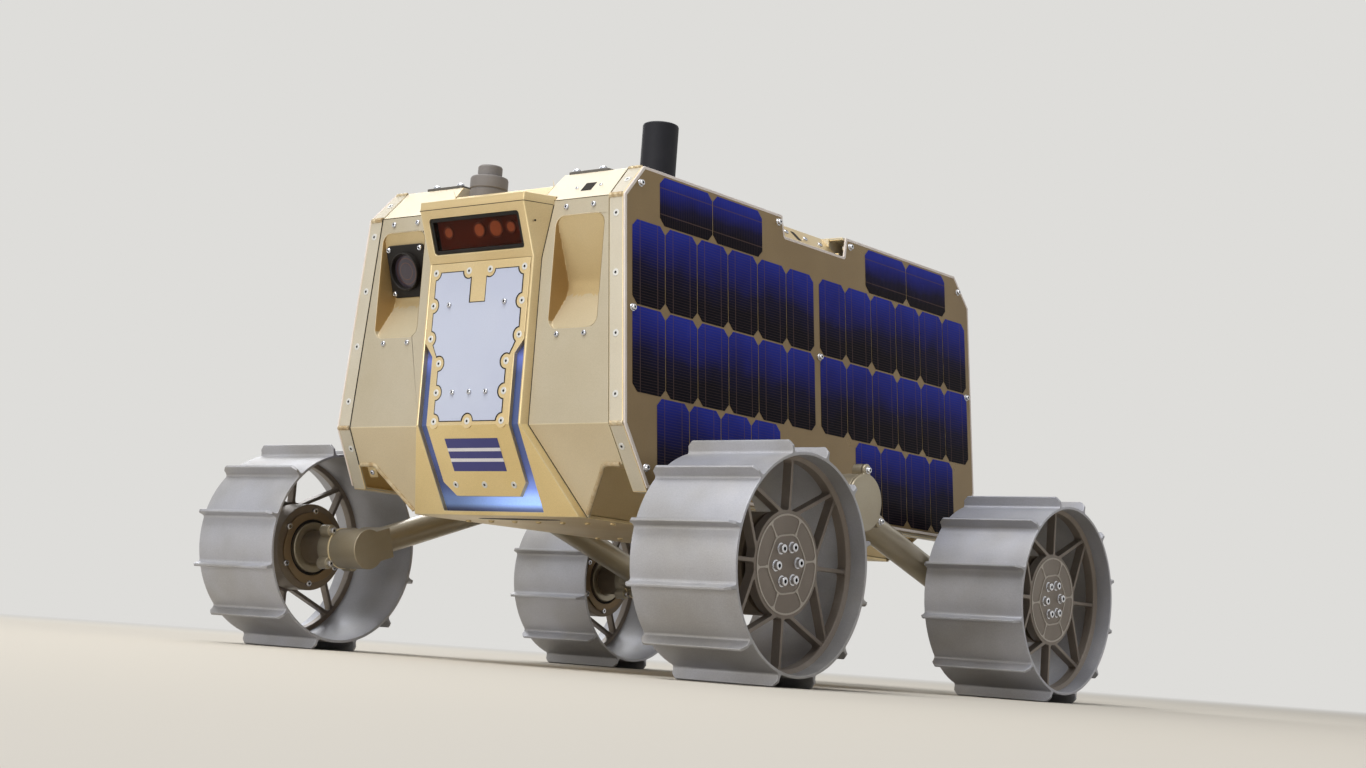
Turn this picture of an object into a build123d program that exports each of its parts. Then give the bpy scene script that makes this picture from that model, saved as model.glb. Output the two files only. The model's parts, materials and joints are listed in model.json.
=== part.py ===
from build123d import *
import os
from math import atan, atan2, cos, degrees, radians, sin, tan

# Frame: millimetres, +Z up, floor at z = 0, the nose faces -Y, y = 0 is the middle of the
# body's length and x = 0 its centre plane. The rover's own left side is +X.

# Body outline
body_length = 529.0
side_lean = 5.6            # side plates lean inward going up, degrees
kink_half_width = 166.0    # outside of the side plates at the kink line
top_rise = 212.5           # roof above the kink line
shoulder_rise = 184.5      # top of the upright front above the kink line
roof_setback = 24.5        # length of the roof's front chamfer
under_slope = 30.0         # lower front and rear faces from the vertical, degrees
skirt_drop = 48.0
keel_drop = 71.5
ledge_drop = 30.5
ledge_margin = 36.0        # side plates' widest line to the edge of the lower cut-outs
keel_half_width = 98.5
skin = 3.0                 # covers' thickness
fit_gap = 0.3              # seams between covers

# Wheels
tread_radius = 85.0        # outside of the wheel's rim
wheel_width = 100.0
wheel_stand_off = 138.5    # side plates' widest line to the rim's outboard edge
wheel_base = 415.0
rim_wall = 2.5
grouser_height = 10.0      # blades that stand on the tread
grouser_count = 12
grouser_thickness = 2.5
grouser_chamfer = 6.0      # blades' cut-off outer corners
web_recess = 16.5          # rim's outboard edge to the web's face
web_depth = 8.0
hub_radius = 39.0
hub_sides = 24
strut_thickness = 3.0
strut_foot_width = 14.0    # pads where the struts meet the rim
strut_foot_depth = 3.5
spindle_radius = 10.0
spindle_clearance = 0.05
spindle_engagement = 15.0
running_gap = 5.0          # between turning and fixed faces

# Wheel motors and the rockers that carry them
motor_radius = 39.5
motor_recess = 46.5        # rim's inboard edge to the motor drum's face
stub_radius = 15.0
stub_flange_radius = 23.0
stub_flange_depth = 3.0
knuckle_radius = 18.0
knuckle_stand_off = 6.0    # side plates' widest line to each knuckle's flat end
knuckle_length = 50.0
knuckle_seam = 35.0        # flat end to the bolted flange
lobe_radius = 5.5          # round ears that take the bolts
knuckle_lobe_circle = 20.5
knuckle_lobe_depth = 12.0
socket_width = 34.0
socket_height = 27.5
socket_reach = 28.0
tube_radius = 12.5
pivot_drop = 35.0          # pivot axis below the body's kink line
axle_drop = 67.0           # wheel axles below the pivot axis
hub_stand_off = 10.0       # side plates' widest line to each rocker hub
rocker_hub_radius = 25.0
rocker_hub_length = 38.0
pivot_shaft_radius = 15.0
pivot_shaft_depth = 46.0   # shaft's inner end behind the side plates' widest line
pivot_cover_thickness = 3.5
pivot_lobe_circle = 28.0

# Side plates with solar cells
plate_thickness = 2.0
plate_gap = 4.0            # stand-offs between body side and plate
frame_width = 14.5
notch_depth = 18.5
notch_half_length = 46.0
notch_flare = 4.0
notch_run = 8.0            # how far the notch plate reaches in over the roof cover
notch_plate_thickness = 2.0
pivot_notch_radius = 20.0
cell_width = 41.0
cell_height = 69.5
cell_gap = 1.0
cell_corner = 6.0
cell_thickness = 0.6
cell_row_line = 96.5       # boundary of the two long rows above the kink line
main_array_start = 4.0     # from the middle of the plate
main_array_columns = 6
low_array_start = 57.5
low_array_columns = 4
top_array_start = 80.0
top_array_columns = 2

# Nose console
console_proud = 6.5        # console face in front of the flank covers
console_margin = 106.0       # side plates' widest line to the console's edge
console_draft = 27.0       # its sides spread towards the flank covers, degrees
console_flare_x = 98.5     # half width at the keel, against the flank covers
visor_low = 138.0          # where the visor starts to lean forward, above the kink line
visor_high = 181.0
visor_reach = 23.5         # visor's top edge in front of the flank covers
cap_height = 7.5

# Pockets in the flank covers, each a scoop that leans back going down
pocket_inner_margin = 16.0   # console's half width to the pocket
pocket_outer_margin = 37.5   # pocket to the side plates' widest line
pocket_top = 171.0           # above the kink line
pocket_bottom = 78.0
pocket_depth = 20.0
pocket_deepest = 112.0
pocket_corner = 9.0
pocket_wall = 2.0
camera_margin = 3.25         # pocket's sides to the camera plate
camera_plate_thickness = 3.0
camera_corner = 5.0
camera_rise = 139.0
camera_lens_radius = 16.5
camera_lens_depth = 6.0
camera_lens_wall = 4.0

# Console plate, its white cover and the light channel behind its edges
recess_depth = 5.0
recess_margin = 2.5          # console's edge to the recess
recess_bottom = -68.0
plate_shoulder = 70.0        # where the light channel's slots begin
plate_waist = 58.0
plate_margin = 12.5          # console's edge to the plate below the slots
plate_foot = -56.0
plate_foot_chamfer = 11.0
light_thickness = 1.0
white_thickness = 1.5
white_inset = 1.2
white_top = 130.0
white_bottom = 3.0
white_margin = 9.5           # console's edge to the white cover
white_waist_margin = 21.0    # console's edge to its narrower foot
white_step_high = 73.5
white_step_low = 52.0
white_notch_half = 9.0
white_notch_bottom = 103.0
scallop_radius = 6.5

# Sensor window in the visor
window_margin = 8.3          # console's edge to the window
window_centre_rise = 159.4
window_height = 31.0
window_corner = 3.0
window_depth = 14.0
bezel_wall = 3.0
bezel_depth = 6.0
bezel_sink = 1.0             # bezel's face behind the visor's
glass_thickness = 2.0
board_thickness = 1.5
lens_depth = 5.0
lens_end_margin = 15.7       # window's edge to the outer lenses

# Roof
channel_drop = 11.5          # centre channel below the raised roof covers
channel_half_width = 59.0
channel_lean = 2.0           # covers' inner sides lean into the channel going down
roof_nose_length = 58.0      # front roof plate, from the nose

# Antennas
mast_radius = 15.2
mast_height = 52.5           # above the raised roof
mast_side_margin = 57.0      # side plates' widest line to the mast's axis
mast_from_nose = 84.0
puck_x = -40.0
puck_from_nose = 36.0
puck_radius = 16.5
puck_height = 20.8
puck_top_radius = 10.6
puck_top_height = 10.0

# Derived levels and lines
blade_step = 360 / grouser_count
stance = radians(blade_step / 2)       # each wheel rests on two blades
axle_z = (tread_radius + grouser_height) * cos(stance) + grouser_thickness / 2 * sin(stance)
pivot_z = axle_z + axle_drop
kink_z = pivot_z + pivot_drop
top_z = kink_z + top_rise
shoulder_z = kink_z + shoulder_rise
skirt_z = kink_z - skirt_drop
ledge_z = kink_z - ledge_drop
keel_z = kink_z - keel_drop
channel_z = top_z - channel_drop
notch_z = top_z - notch_depth
half_length = body_length / 2
nose_y = -half_length
lean = tan(radians(side_lean))
slope = tan(radians(under_slope))
lean_cos = cos(radians(side_lean))
lean_sin = sin(radians(side_lean))
plate_inset = plate_thickness / lean_cos
side_offset = plate_inset + plate_gap
frame_inset = plate_inset + frame_width + fit_gap
ledge_half_width = kink_half_width - ledge_margin
wheel_outer_x = kink_half_width + wheel_stand_off
rim_inner_x = wheel_outer_x - wheel_width
web_outer_x = wheel_outer_x - web_recess
web_inner_x = web_outer_x - web_depth
motor_inner_x = rim_inner_x + motor_recess
motor_outer_x = web_inner_x - running_gap
knuckle_inner_x = kink_half_width + knuckle_stand_off
rocker_hub_inner_x = kink_half_width + hub_stand_off
rocker_hub_outer_x = rocker_hub_inner_x + rocker_hub_length
pivot_shaft_inner_x = kink_half_width - pivot_shaft_depth
console_spread = tan(radians(console_draft))
visor_angle = atan((visor_reach - console_proud) / (visor_high - visor_low))
console_half_width = kink_half_width - console_margin
plate_half_width = console_half_width - plate_margin
white_wide = console_half_width - white_margin
white_narrow = console_half_width - white_waist_margin
pocket_inner_x = console_half_width + pocket_inner_margin
pocket_outer_x = kink_half_width - pocket_outer_margin
pocket_width = pocket_outer_x - pocket_inner_x
pocket_middle_x = (pocket_outer_x + pocket_inner_x) / 2
corners = [(side, end) for side in (1, -1) for end in (-1, 1)]


def side_x(z, inset=0.0):
    """Half width of the leaning side at a height, less an inset."""
    return kink_half_width - (z - kink_z) * lean - inset


def length_profile(inset=0.0, bottom=keel_z):
    """Half outline of the body in y and z, from the roof to the bottom, at the rear."""
    under_run = (kink_z - bottom) * slope
    return [
        (half_length - roof_setback - inset / 2, top_z - inset),
        (half_length - inset, shoulder_z - inset / 2),
        (half_length - inset, kink_z),
        (half_length - under_run - inset, bottom),
    ]


def closed_profile(inset=0.0, bottom=keel_z):
    """Whole outline in y and z: rear half and its mirror at the nose."""
    rear = length_profile(inset, bottom)
    nose = [(-y, z) for y, z in reversed(rear)]
    return rear + nose


def mirrored(points):
    """Right half of an outline and its mirror about the centre plane."""
    return points + [(-x, z) for x, z in reversed(points)]


def chamfer_run(z):
    """How far the roof's sloping ends stand back from the upright ends at a height."""
    return (z - shoulder_z) * roof_setback / (top_z - shoulder_z)


def axle_plane(side, end, x):
    """Plane across a wheel's axle at a distance from the centre plane: local y is up."""
    return Plane(origin=(side * x, end * wheel_base / 2, axle_z), x_dir=(0, 1, 0), z_dir=(1, 0, 0))


def pivot_plane(side, x):
    """Plane across a rocker's pivot at a distance from the centre plane: local y is up."""
    return Plane(origin=(side * x, 0, pivot_z), x_dir=(0, 1, 0), z_dir=(1, 0, 0))


def visor_plane(rise, inset=0.0):
    """Plane on the visor's leaning face at a height above the kink line."""
    lean_y = nose_y - console_proud - (rise - visor_low) * tan(visor_angle)
    normal = Vector(0, -cos(visor_angle), -sin(visor_angle))
    origin = Vector(0, lean_y, kink_z + rise) - normal * inset
    return Plane(origin=origin, x_dir=(1, 0, 0), z_dir=normal)


def face_line(inset):
    """Console face in y and z from the visor's bend to the keel, set back by an inset."""
    return [
        (nose_y - console_proud + inset, kink_z + visor_low),
        (nose_y - console_proud + inset, kink_z),
        (nose_y - console_proud + inset + keel_drop * slope, keel_z),
    ]


def face_band(outline, inset, depth):
    """Solid that follows the console's folded face between two insets, inside an outline."""
    with BuildPart(mode=Mode.PRIVATE) as band:
        with BuildSketch(Plane.YZ):
            with BuildLine():
                Polyline(*face_line(inset), *reversed(face_line(depth)), close=True)
            make_face()
        extrude(amount=console_flare_x, both=True)
        with BuildSketch(Plane.XZ):
            with BuildLine():
                Polyline(*outline, close=True)
            make_face()
        extrude(amount=half_length + visor_reach, mode=Mode.INTERSECT)
    return band.part


def pocket_profile(grow=0.0):
    """Scoop's outline in y and z, open at the nose, grown by a wall."""
    mouth_y = nose_y - 1.0
    return [
        (mouth_y, kink_z + pocket_top + skin + grow * 3),
        (nose_y + pocket_depth + grow * 1.3, kink_z + pocket_deepest),
        (mouth_y, kink_z + pocket_bottom - skin / 2 - grow * 2),
    ]


def pocket_solid(side, grow=0.0):
    """Scoop as a solid: its profile across the width, with rounded corners seen from ahead."""
    middle_z = kink_z + (pocket_top + pocket_bottom) / 2
    with BuildPart(mode=Mode.PRIVATE) as scoop:
        with BuildSketch(Plane.YZ.offset(side * pocket_middle_x)):
            with BuildLine():
                Polyline(*pocket_profile(grow), close=True)
            make_face()
        extrude(amount=pocket_width, both=True)
        with BuildSketch(Plane.XZ.offset(-nose_y + 2)):
            with Locations((side * pocket_middle_x, middle_z)):
                RectangleRounded(
                    pocket_width + grow * 2, pocket_top - pocket_bottom + grow * 2, pocket_corner + grow
                )
        extrude(amount=-pocket_depth * 2, mode=Mode.INTERSECT)
    return scoop.part


def notch_slope(sink):
    """Line in x and z of the slanting notch plate, from the roof to the notch's foot."""
    return [
        (side_x(top_z, frame_inset + notch_run) - sink, top_z),
        (side_x(notch_z, side_offset) - sink, notch_z),
    ]


def notch_wedge(side):
    """Corner that is cut from the roof's edge for the notch plate."""
    inner_top, foot = notch_slope(notch_plate_thickness * 2 + fit_gap)
    with BuildPart(mode=Mode.PRIVATE) as wedge:
        with BuildSketch(Plane.XZ):
            with BuildLine():
                Polyline(
                    (side * inner_top[0], inner_top[1] + 1),
                    (side * inner_top[0], inner_top[1]),
                    (side * foot[0], foot[1]),
                    (side * kink_half_width, foot[1]),
                    (side * kink_half_width, top_z + 1),
                    close=True,
                )
            make_face()
        extrude(amount=notch_half_length + fit_gap, both=True)
    return wedge.part


os.makedirs("parts", exist_ok=True)


# Chassis tub: body behind the covers, with a narrow keel and two side skirts
with BuildPart() as chassis_tub:
    tub_section = mirrored([
        (side_x(channel_z, side_offset), channel_z - skin),
        (side_x(skirt_z, side_offset), skirt_z),
        (side_x(skirt_z, side_offset) - skin, skirt_z),
        (side_x(ledge_z, side_offset) - skin, ledge_z),
        (ledge_half_width, ledge_z),
        (keel_half_width, keel_z + skin),
    ])
    with BuildSketch(Plane.XZ):
        with BuildLine():
            Polyline(*tub_section, close=True)
        make_face()
    extrude(amount=half_length, both=True)
    with BuildSketch(Plane.YZ):
        with BuildLine():
            Polyline(*closed_profile(skin, keel_z), close=True)
        make_face()
    extrude(amount=kink_half_width * 2, both=True, mode=Mode.INTERSECT)
    for side in (1, -1):
        with BuildSketch(pivot_plane(side, pivot_shaft_inner_x)):
            Circle(pivot_shaft_radius + fit_gap)
        extrude(amount=side * kink_half_width, mode=Mode.SUBTRACT)
        add(pocket_solid(side, pocket_wall + fit_gap), mode=Mode.SUBTRACT)
        add(notch_wedge(side), mode=Mode.SUBTRACT)
chassis_tub.part.label = "chassis_tub"
export_step(chassis_tub.part, "parts/chassis_tub.step")

# Belly plate under the keel
with BuildPart() as belly_plate:
    belly_half = half_length - keel_drop * slope - skin
    with BuildSketch(Plane.XY.offset(keel_z)):
        Rectangle(keel_half_width * 2, belly_half * 2)
    extrude(amount=skin - fit_gap)
belly_plate.part.label = "belly_plate"
export_step(belly_plate.part, "parts/belly_plate.step")

# Side frames: edge strips round each body side, seen from the nose, above and the rear
for side, side_name in ((1, "left"), (-1, "right")):
    with BuildPart() as side_frame:
        with BuildSketch(Plane.XZ):
            with BuildLine():
                Polyline(
                    (side * side_x(top_z, plate_inset), top_z),
                    (side * side_x(skirt_z, plate_inset), skirt_z - skin),
                    (side * side_x(skirt_z, plate_inset + frame_width), skirt_z - skin),
                    (side * side_x(top_z, plate_inset + frame_width), top_z),
                    close=True,
                )
            make_face()
        extrude(amount=half_length, both=True)
        with BuildSketch(Plane.YZ):
            with BuildLine():
                Polyline(*closed_profile(0.0, skirt_z - skin), close=True)
            make_face()
            with BuildLine():
                Polyline(*closed_profile(skin - fit_gap, skirt_z - fit_gap), close=True)
            make_face(mode=Mode.SUBTRACT)
        extrude(amount=side * kink_half_width * 2, mode=Mode.INTERSECT)
        with BuildSketch(Plane.YZ):
            with Locations((0, pivot_z)):
                Circle(pivot_notch_radius)
        extrude(amount=side * kink_half_width * 2, mode=Mode.SUBTRACT)
        add(notch_wedge(side), mode=Mode.SUBTRACT)
    side_frame.part.label = f"side_frame_{side_name}"
    export_step(side_frame.part, f"parts/side_frame_{side_name}.step")

# Flank covers: two folded plates at the nose, one each side of the console
seam_x = console_half_width + console_proud * console_spread
visor_seam_x = console_half_width + visor_reach * console_spread
under_run = (kink_z - keel_z) * slope
for side, side_name in ((1, "left"), (-1, "right")):
    with BuildPart() as flank_cover:
        with BuildSketch(Plane.YZ):
            with BuildLine():
                Polyline(
                    (nose_y, shoulder_z),
                    (nose_y, kink_z),
                    (nose_y + under_run, keel_z),
                    (nose_y + under_run + skin - fit_gap, keel_z),
                    (nose_y + skin - fit_gap, kink_z),
                    (nose_y + skin - fit_gap, shoulder_z),
                    close=True,
                )
            make_face()
        extrude(amount=side * kink_half_width)
        with BuildSketch(Plane.XZ):
            with BuildLine():
                Polyline(
                    (side * (visor_seam_x + fit_gap), shoulder_z - fit_gap),
                    (side * side_x(shoulder_z, frame_inset), shoulder_z - fit_gap),
                    (side * side_x(ledge_z, frame_inset), ledge_z),
                    (side * ledge_half_width, ledge_z),
                    (side * (console_flare_x + fit_gap), keel_z),
                    (side * (seam_x + fit_gap), kink_z),
                    (side * (seam_x + fit_gap), kink_z + visor_low),
                    (side * (visor_seam_x + fit_gap), kink_z + visor_high),
                    close=True,
                )
            make_face()
        extrude(amount=half_length + skin, mode=Mode.INTERSECT)
        pan = pocket_solid(side, pocket_wall)
        with BuildSketch(Plane.XZ.offset(half_length - skin / 2)):
            with Locations((side * pocket_middle_x, kink_z + pocket_deepest)):
                Rectangle(pocket_width * 2, kink_z)
        behind = extrude(amount=-pocket_depth * 2, mode=Mode.PRIVATE)
        add(pan & behind)
        add(pocket_solid(side), mode=Mode.SUBTRACT)
    flank_cover.part.label = f"flank_cover_{side_name}"
    export_step(flank_cover.part, f"parts/flank_cover_{side_name}.step")

# Nose console: centre housing with spreading sides, a leaning visor and a flared foot
# rise above the kink line, half width at the face, at the flank covers, reach, run of the flanks
console_levels = [
    (visor_high + cap_height, console_half_width, visor_seam_x, visor_reach, 0.0),
    (visor_high, console_half_width, visor_seam_x, visor_reach, 0.0),
    (visor_low, console_half_width, seam_x, console_proud, 0.0),
    (0.0, console_half_width, seam_x, console_proud, 0.0),
    (-keel_drop, console_flare_x + console_half_width - seam_x, console_flare_x, console_proud, under_run),
]
with BuildPart() as console:
    for upper, lower in zip(console_levels, console_levels[1:]):
        for rise, face_x, flank_x, reach, run in (upper, lower):
            with BuildSketch(Plane.XY.offset(kink_z + rise)):
                with BuildLine():
                    Polyline(*mirrored([
                        (face_x, nose_y - reach + run),
                        (flank_x, nose_y + run),
                        (flank_x, nose_y + run + skin - fit_gap),
                    ]), close=True)
                make_face()
        loft(ruled=True)
    recess_half_width = console_half_width - recess_margin
    recess_outline = mirrored([
        (recess_half_width, kink_z + visor_low),
        (recess_half_width, kink_z + recess_bottom),
    ])
    add(face_band(recess_outline, -skin, recess_depth), mode=Mode.SUBTRACT)
    window_half_width = console_half_width - window_margin
    with BuildSketch(visor_plane(window_centre_rise)):
        RectangleRounded(window_half_width * 2, window_height, window_corner)
    extrude(amount=-window_depth, mode=Mode.SUBTRACT)
console.part.label = "console"
export_step(console.part, "parts/console.step")

# Rear cover: one folded plate
with BuildPart() as rear_cover:
    with BuildSketch(Plane.YZ):
        with BuildLine():
            Polyline(
                (half_length, shoulder_z),
                (half_length, kink_z),
                (half_length - under_run, keel_z),
                (half_length - under_run - skin + fit_gap, keel_z),
                (half_length - skin + fit_gap, kink_z),
                (half_length - skin + fit_gap, shoulder_z),
                close=True,
            )
        make_face()
    extrude(amount=kink_half_width, both=True)
    with BuildSketch(Plane.XZ):
        with BuildLine():
            Polyline(*mirrored([
                (side_x(shoulder_z, frame_inset), shoulder_z - fit_gap),
                (side_x(ledge_z, frame_inset), ledge_z),
                (ledge_half_width, ledge_z),
                (keel_half_width, keel_z),
            ]), close=True)
        make_face()
    extrude(amount=-half_length - skin, mode=Mode.INTERSECT)
rear_cover.part.label = "rear_cover"
export_step(rear_cover.part, "parts/rear_cover.step")

# Roof: a deck and a front plate in the centre channel, and a raised cover each side
deck_half_width = channel_half_width - channel_lean - fit_gap
deck_under = channel_z - skin + fit_gap
end_thickness = skin - fit_gap
with BuildPart() as roof_deck:
    with BuildSketch(Plane.YZ):
        with BuildLine():
            Polyline(
                (nose_y + roof_nose_length + fit_gap, channel_z),
                (half_length - chamfer_run(channel_z), channel_z),
                (half_length, shoulder_z),
                (half_length - end_thickness, shoulder_z),
                (half_length - chamfer_run(channel_z) - end_thickness / 2, deck_under),
                (nose_y + roof_nose_length + fit_gap, deck_under),
                close=True,
            )
        make_face()
    extrude(amount=deck_half_width, both=True)
roof_deck.part.label = "roof_deck"
export_step(roof_deck.part, "parts/roof_deck.step")

console_top_z = kink_z + visor_high + cap_height
with BuildPart() as roof_nose_plate:
    with BuildSketch(Plane.YZ):
        with BuildLine():
            Polyline(
                (nose_y + roof_nose_length, channel_z),
                (nose_y + chamfer_run(channel_z), channel_z),
                (nose_y + chamfer_run(console_top_z), console_top_z),
                (nose_y + chamfer_run(console_top_z) + end_thickness, console_top_z),
                (nose_y + chamfer_run(channel_z) + end_thickness / 2, deck_under),
                (nose_y + roof_nose_length, deck_under),
                close=True,
            )
        make_face()
    extrude(amount=deck_half_width, both=True)
roof_nose_plate.part.label = "roof_nose_plate"
export_step(roof_nose_plate.part, "parts/roof_nose_plate.step")

cover_inner_x = channel_half_width - channel_lean
fold_outer = [
    (cover_inner_x, channel_z),
    (side_x(channel_z, frame_inset), channel_z),
    (side_x(shoulder_z, frame_inset), shoulder_z),
]
# the folds' feet: round the console's cap at the nose, straight across at the rear
cover_feet = {
    -1: [
        (visor_seam_x + fit_gap, shoulder_z),
        (visor_seam_x + fit_gap, console_top_z),
        (cover_inner_x, console_top_z),
    ],
    1: [(cover_inner_x, shoulder_z)],
}
for side, side_name in ((1, "left"), (-1, "right")):
    with BuildPart() as roof_cover:
        with BuildSketch(Plane.XZ):
            with BuildLine():
                Polyline(
                    (side * channel_half_width, top_z),
                    (side * side_x(top_z, frame_inset), top_z),
                    (side * side_x(channel_z, frame_inset), deck_under),
                    (side * cover_inner_x, deck_under),
                    close=True,
                )
            make_face()
        extrude(amount=half_length, both=True)
        with BuildSketch(Plane.YZ):
            with BuildLine():
                Polyline(*closed_profile(0.0, keel_z), close=True)
            make_face()
        extrude(amount=side * kink_half_width, mode=Mode.INTERSECT)

        # Folded ends that carry the roof's chamfers on down to the shoulders
        for end, cover_foot in cover_feet.items():
            with BuildPart(mode=Mode.PRIVATE) as fold:
                with BuildSketch(Plane.YZ):
                    with BuildLine():
                        Polyline(
                            (end * (half_length - chamfer_run(channel_z)), channel_z),
                            (end * half_length, shoulder_z),
                            (end * (half_length - end_thickness), shoulder_z),
                            (end * (half_length - chamfer_run(channel_z) - end_thickness / 2), deck_under),
                            close=True,
                        )
                    make_face()
                extrude(amount=side * kink_half_width)
                with BuildSketch(Plane.XZ):
                    with BuildLine():
                        Polyline(*[(side * x, z) for x, z in fold_outer + cover_foot], close=True)
                    make_face()
                extrude(amount=-end * (half_length + skin), mode=Mode.INTERSECT)
            add(fold.part)
        add(notch_wedge(side), mode=Mode.SUBTRACT)
    roof_cover.part.label = f"roof_cover_{side_name}"
    export_step(roof_cover.part, f"parts/roof_cover_{side_name}.step")

# Notch plates: slanting plates behind the notches in the side plates' upper edges
with BuildPart() as notch_plates:
    for side in (1, -1):
        face = notch_slope(0.0)
        back = notch_slope(notch_plate_thickness * 2)
        with BuildSketch(Plane.XZ):
            with BuildLine():
                Polyline(*[(side * x, z) for x, z in face + back[::-1]], close=True)
            make_face()
        extrude(amount=notch_half_length, both=True)
notch_plates.part.label = "notch_plates"
export_step(notch_plates.part, "parts/notch_plates.step")


# Side plates: the leaning panels that carry the solar cells
def plate_plane(side):
    """Plane of a side plate's outside: local x along the body, local y up the plate."""
    return Plane(
        origin=(side * kink_half_width, 0, kink_z), x_dir=(0, side, 0), z_dir=(side * lean_cos, 0, lean_sin)
    )


def up_plate(rise):
    """Height above the kink line, measured up the leaning plate."""
    return rise / lean_cos


cell_pitch = cell_width + cell_gap
main_low = cell_row_line - (cell_height + cell_gap) / 2
main_high = cell_row_line + (cell_height + cell_gap) / 2
low_row = main_low - cell_height - cell_gap
top_row = main_high + (cell_height + cell_width) / 2 + cell_gap
for side, side_name in ((1, "left"), (-1, "right")):
    with BuildPart() as solar_plate:
        with BuildSketch(plate_plane(side)):
            with BuildLine():
                Polyline(*mirrored([
                    (half_length - roof_setback, up_plate(top_rise)),
                    (half_length, up_plate(shoulder_rise)),
                    (half_length, 0),
                    (half_length - skirt_drop * slope, up_plate(-skirt_drop)),
                ]), close=True)
            make_face()
            with BuildLine():
                Polyline(*mirrored([
                    (notch_half_length + notch_flare, up_plate(top_rise)),
                    (notch_half_length, up_plate(top_rise - notch_depth)),
                ]), close=True)
            make_face(mode=Mode.SUBTRACT)
        extrude(amount=-plate_thickness)
        with BuildSketch(Plane.YZ):
            with Locations((0, pivot_z)):
                Circle(pivot_notch_radius)
        extrude(amount=side * kink_half_width * 2, mode=Mode.SUBTRACT)
    solar_plate.part.label = f"solar_plate_{side_name}"
    export_step(solar_plate.part, f"parts/solar_plate_{side_name}.step")

    # Solar cells: wafers with cut corners in one node, in three kinds of rows
    cell_rows = [
        # centre height, first edge, columns, pitch, cell's length along the body, cell's height
        (main_low, main_array_start, main_array_columns, cell_pitch, cell_width, cell_height),
        (main_high, main_array_start, main_array_columns, cell_pitch, cell_width, cell_height),
        (low_row, low_array_start, low_array_columns, cell_pitch, cell_width, cell_height),
        (top_row, top_array_start, top_array_columns, cell_height + cell_gap, cell_height, cell_width),
    ]
    with BuildPart() as solar_cells:
        with BuildSketch(plate_plane(side)):
            for row_height, first_edge, columns, pitch, along, tall in cell_rows:
                for end in (1, -1):
                    for column in range(columns):
                        centre = end * (first_edge + (column + 0.5) * pitch)
                        with BuildLine(mode=Mode.PRIVATE) as wafer:
                            Polyline(*mirrored([
                                (along / 2 - cell_corner, tall / 2),
                                (along / 2, tall / 2 - cell_corner),
                                (along / 2, cell_corner - tall / 2),
                                (along / 2 - cell_corner, -tall / 2),
                            ]), close=True)
                        wafer_face = make_face(wafer.edges(), mode=Mode.PRIVATE)
                        with Locations((centre, up_plate(row_height))):
                            add(wafer_face)
        extrude(amount=cell_thickness)
    solar_cells.part.label = f"solar_cells_{side_name}"
    export_step(solar_cells.part, f"parts/solar_cells_{side_name}.step")

# Rocker pivots: a shaft out of the body, a hub on it and a cover with three bolt ears
with BuildPart() as pivot_shafts:
    for side in (1, -1):
        with BuildSketch(pivot_plane(side, pivot_shaft_inner_x + fit_gap)):
            Circle(pivot_shaft_radius)
        extrude(amount=side * (rocker_hub_inner_x - pivot_shaft_inner_x - fit_gap))
pivot_shafts.part.label = "pivot_shafts"
export_step(pivot_shafts.part, "parts/pivot_shafts.step")

with BuildPart() as rocker_hubs:
    for side in (1, -1):
        with BuildSketch(pivot_plane(side, rocker_hub_inner_x)):
            Circle(rocker_hub_radius)
        extrude(amount=side * rocker_hub_length)
rocker_hubs.part.label = "rocker_hubs"
export_step(rocker_hubs.part, "parts/rocker_hubs.step")

with BuildPart() as pivot_covers:
    for side in (1, -1):
        with BuildSketch(pivot_plane(side, rocker_hub_outer_x)):
            Circle(rocker_hub_radius)
            with PolarLocations(pivot_lobe_circle, 3, start_angle=90):
                Circle(lobe_radius)
        extrude(amount=side * pivot_cover_thickness)
pivot_covers.part.label = "pivot_covers"
export_step(pivot_covers.part, "parts/pivot_covers.step")

# Rocker tubes from the hubs down to the knuckles
tube_x = knuckle_inner_x + socket_width / 2
tube_angle = atan(axle_drop / (wheel_base / 2))
tube_length = wheel_base / 2 / cos(tube_angle) - socket_reach - rocker_hub_radius


def tube_plane(side, end):
    """Plane across a rocker tube at its wheel's axle, facing up the tube."""
    toward_hub = (0, -end * cos(tube_angle), sin(tube_angle))
    return Plane(origin=(side * tube_x, end * wheel_base / 2, axle_z), x_dir=(1, 0, 0), z_dir=toward_hub)


with BuildPart() as rocker_tubes:
    for side, end in corners:
        with BuildSketch(tube_plane(side, end).offset(socket_reach)):
            Circle(tube_radius)
        extrude(amount=tube_length + rocker_hub_radius / 2)
    for side in (1, -1):
        with BuildSketch(pivot_plane(side, rocker_hub_inner_x)):
            Circle(rocker_hub_radius)
        extrude(amount=side * rocker_hub_length, mode=Mode.SUBTRACT)
rocker_tubes.part.label = "rocker_tubes"
export_step(rocker_tubes.part, "parts/rocker_tubes.step")

# Knuckles: a sleeve with a bolted flange, a closed flat end and a square socket for the tube
with BuildPart() as knuckles:
    for side, end in corners:
        with BuildSketch(axle_plane(side, end, knuckle_inner_x)):
            Circle(knuckle_radius)
        extrude(amount=side * knuckle_length)
        with BuildSketch(axle_plane(side, end, knuckle_inner_x + knuckle_seam)):
            with PolarLocations(knuckle_lobe_circle, 4, start_angle=45):
                Circle(lobe_radius)
        extrude(amount=side * knuckle_lobe_depth)
        with BuildSketch(tube_plane(side, end)):
            Rectangle(socket_width, socket_height)
        extrude(amount=socket_reach)
        with BuildSketch(axle_plane(side, end, knuckle_inner_x + skin)):
            Circle(stub_radius)
        extrude(amount=side * knuckle_length, mode=Mode.SUBTRACT)
knuckles.part.label = "knuckles"
export_step(knuckles.part, "parts/knuckles.step")

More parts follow.
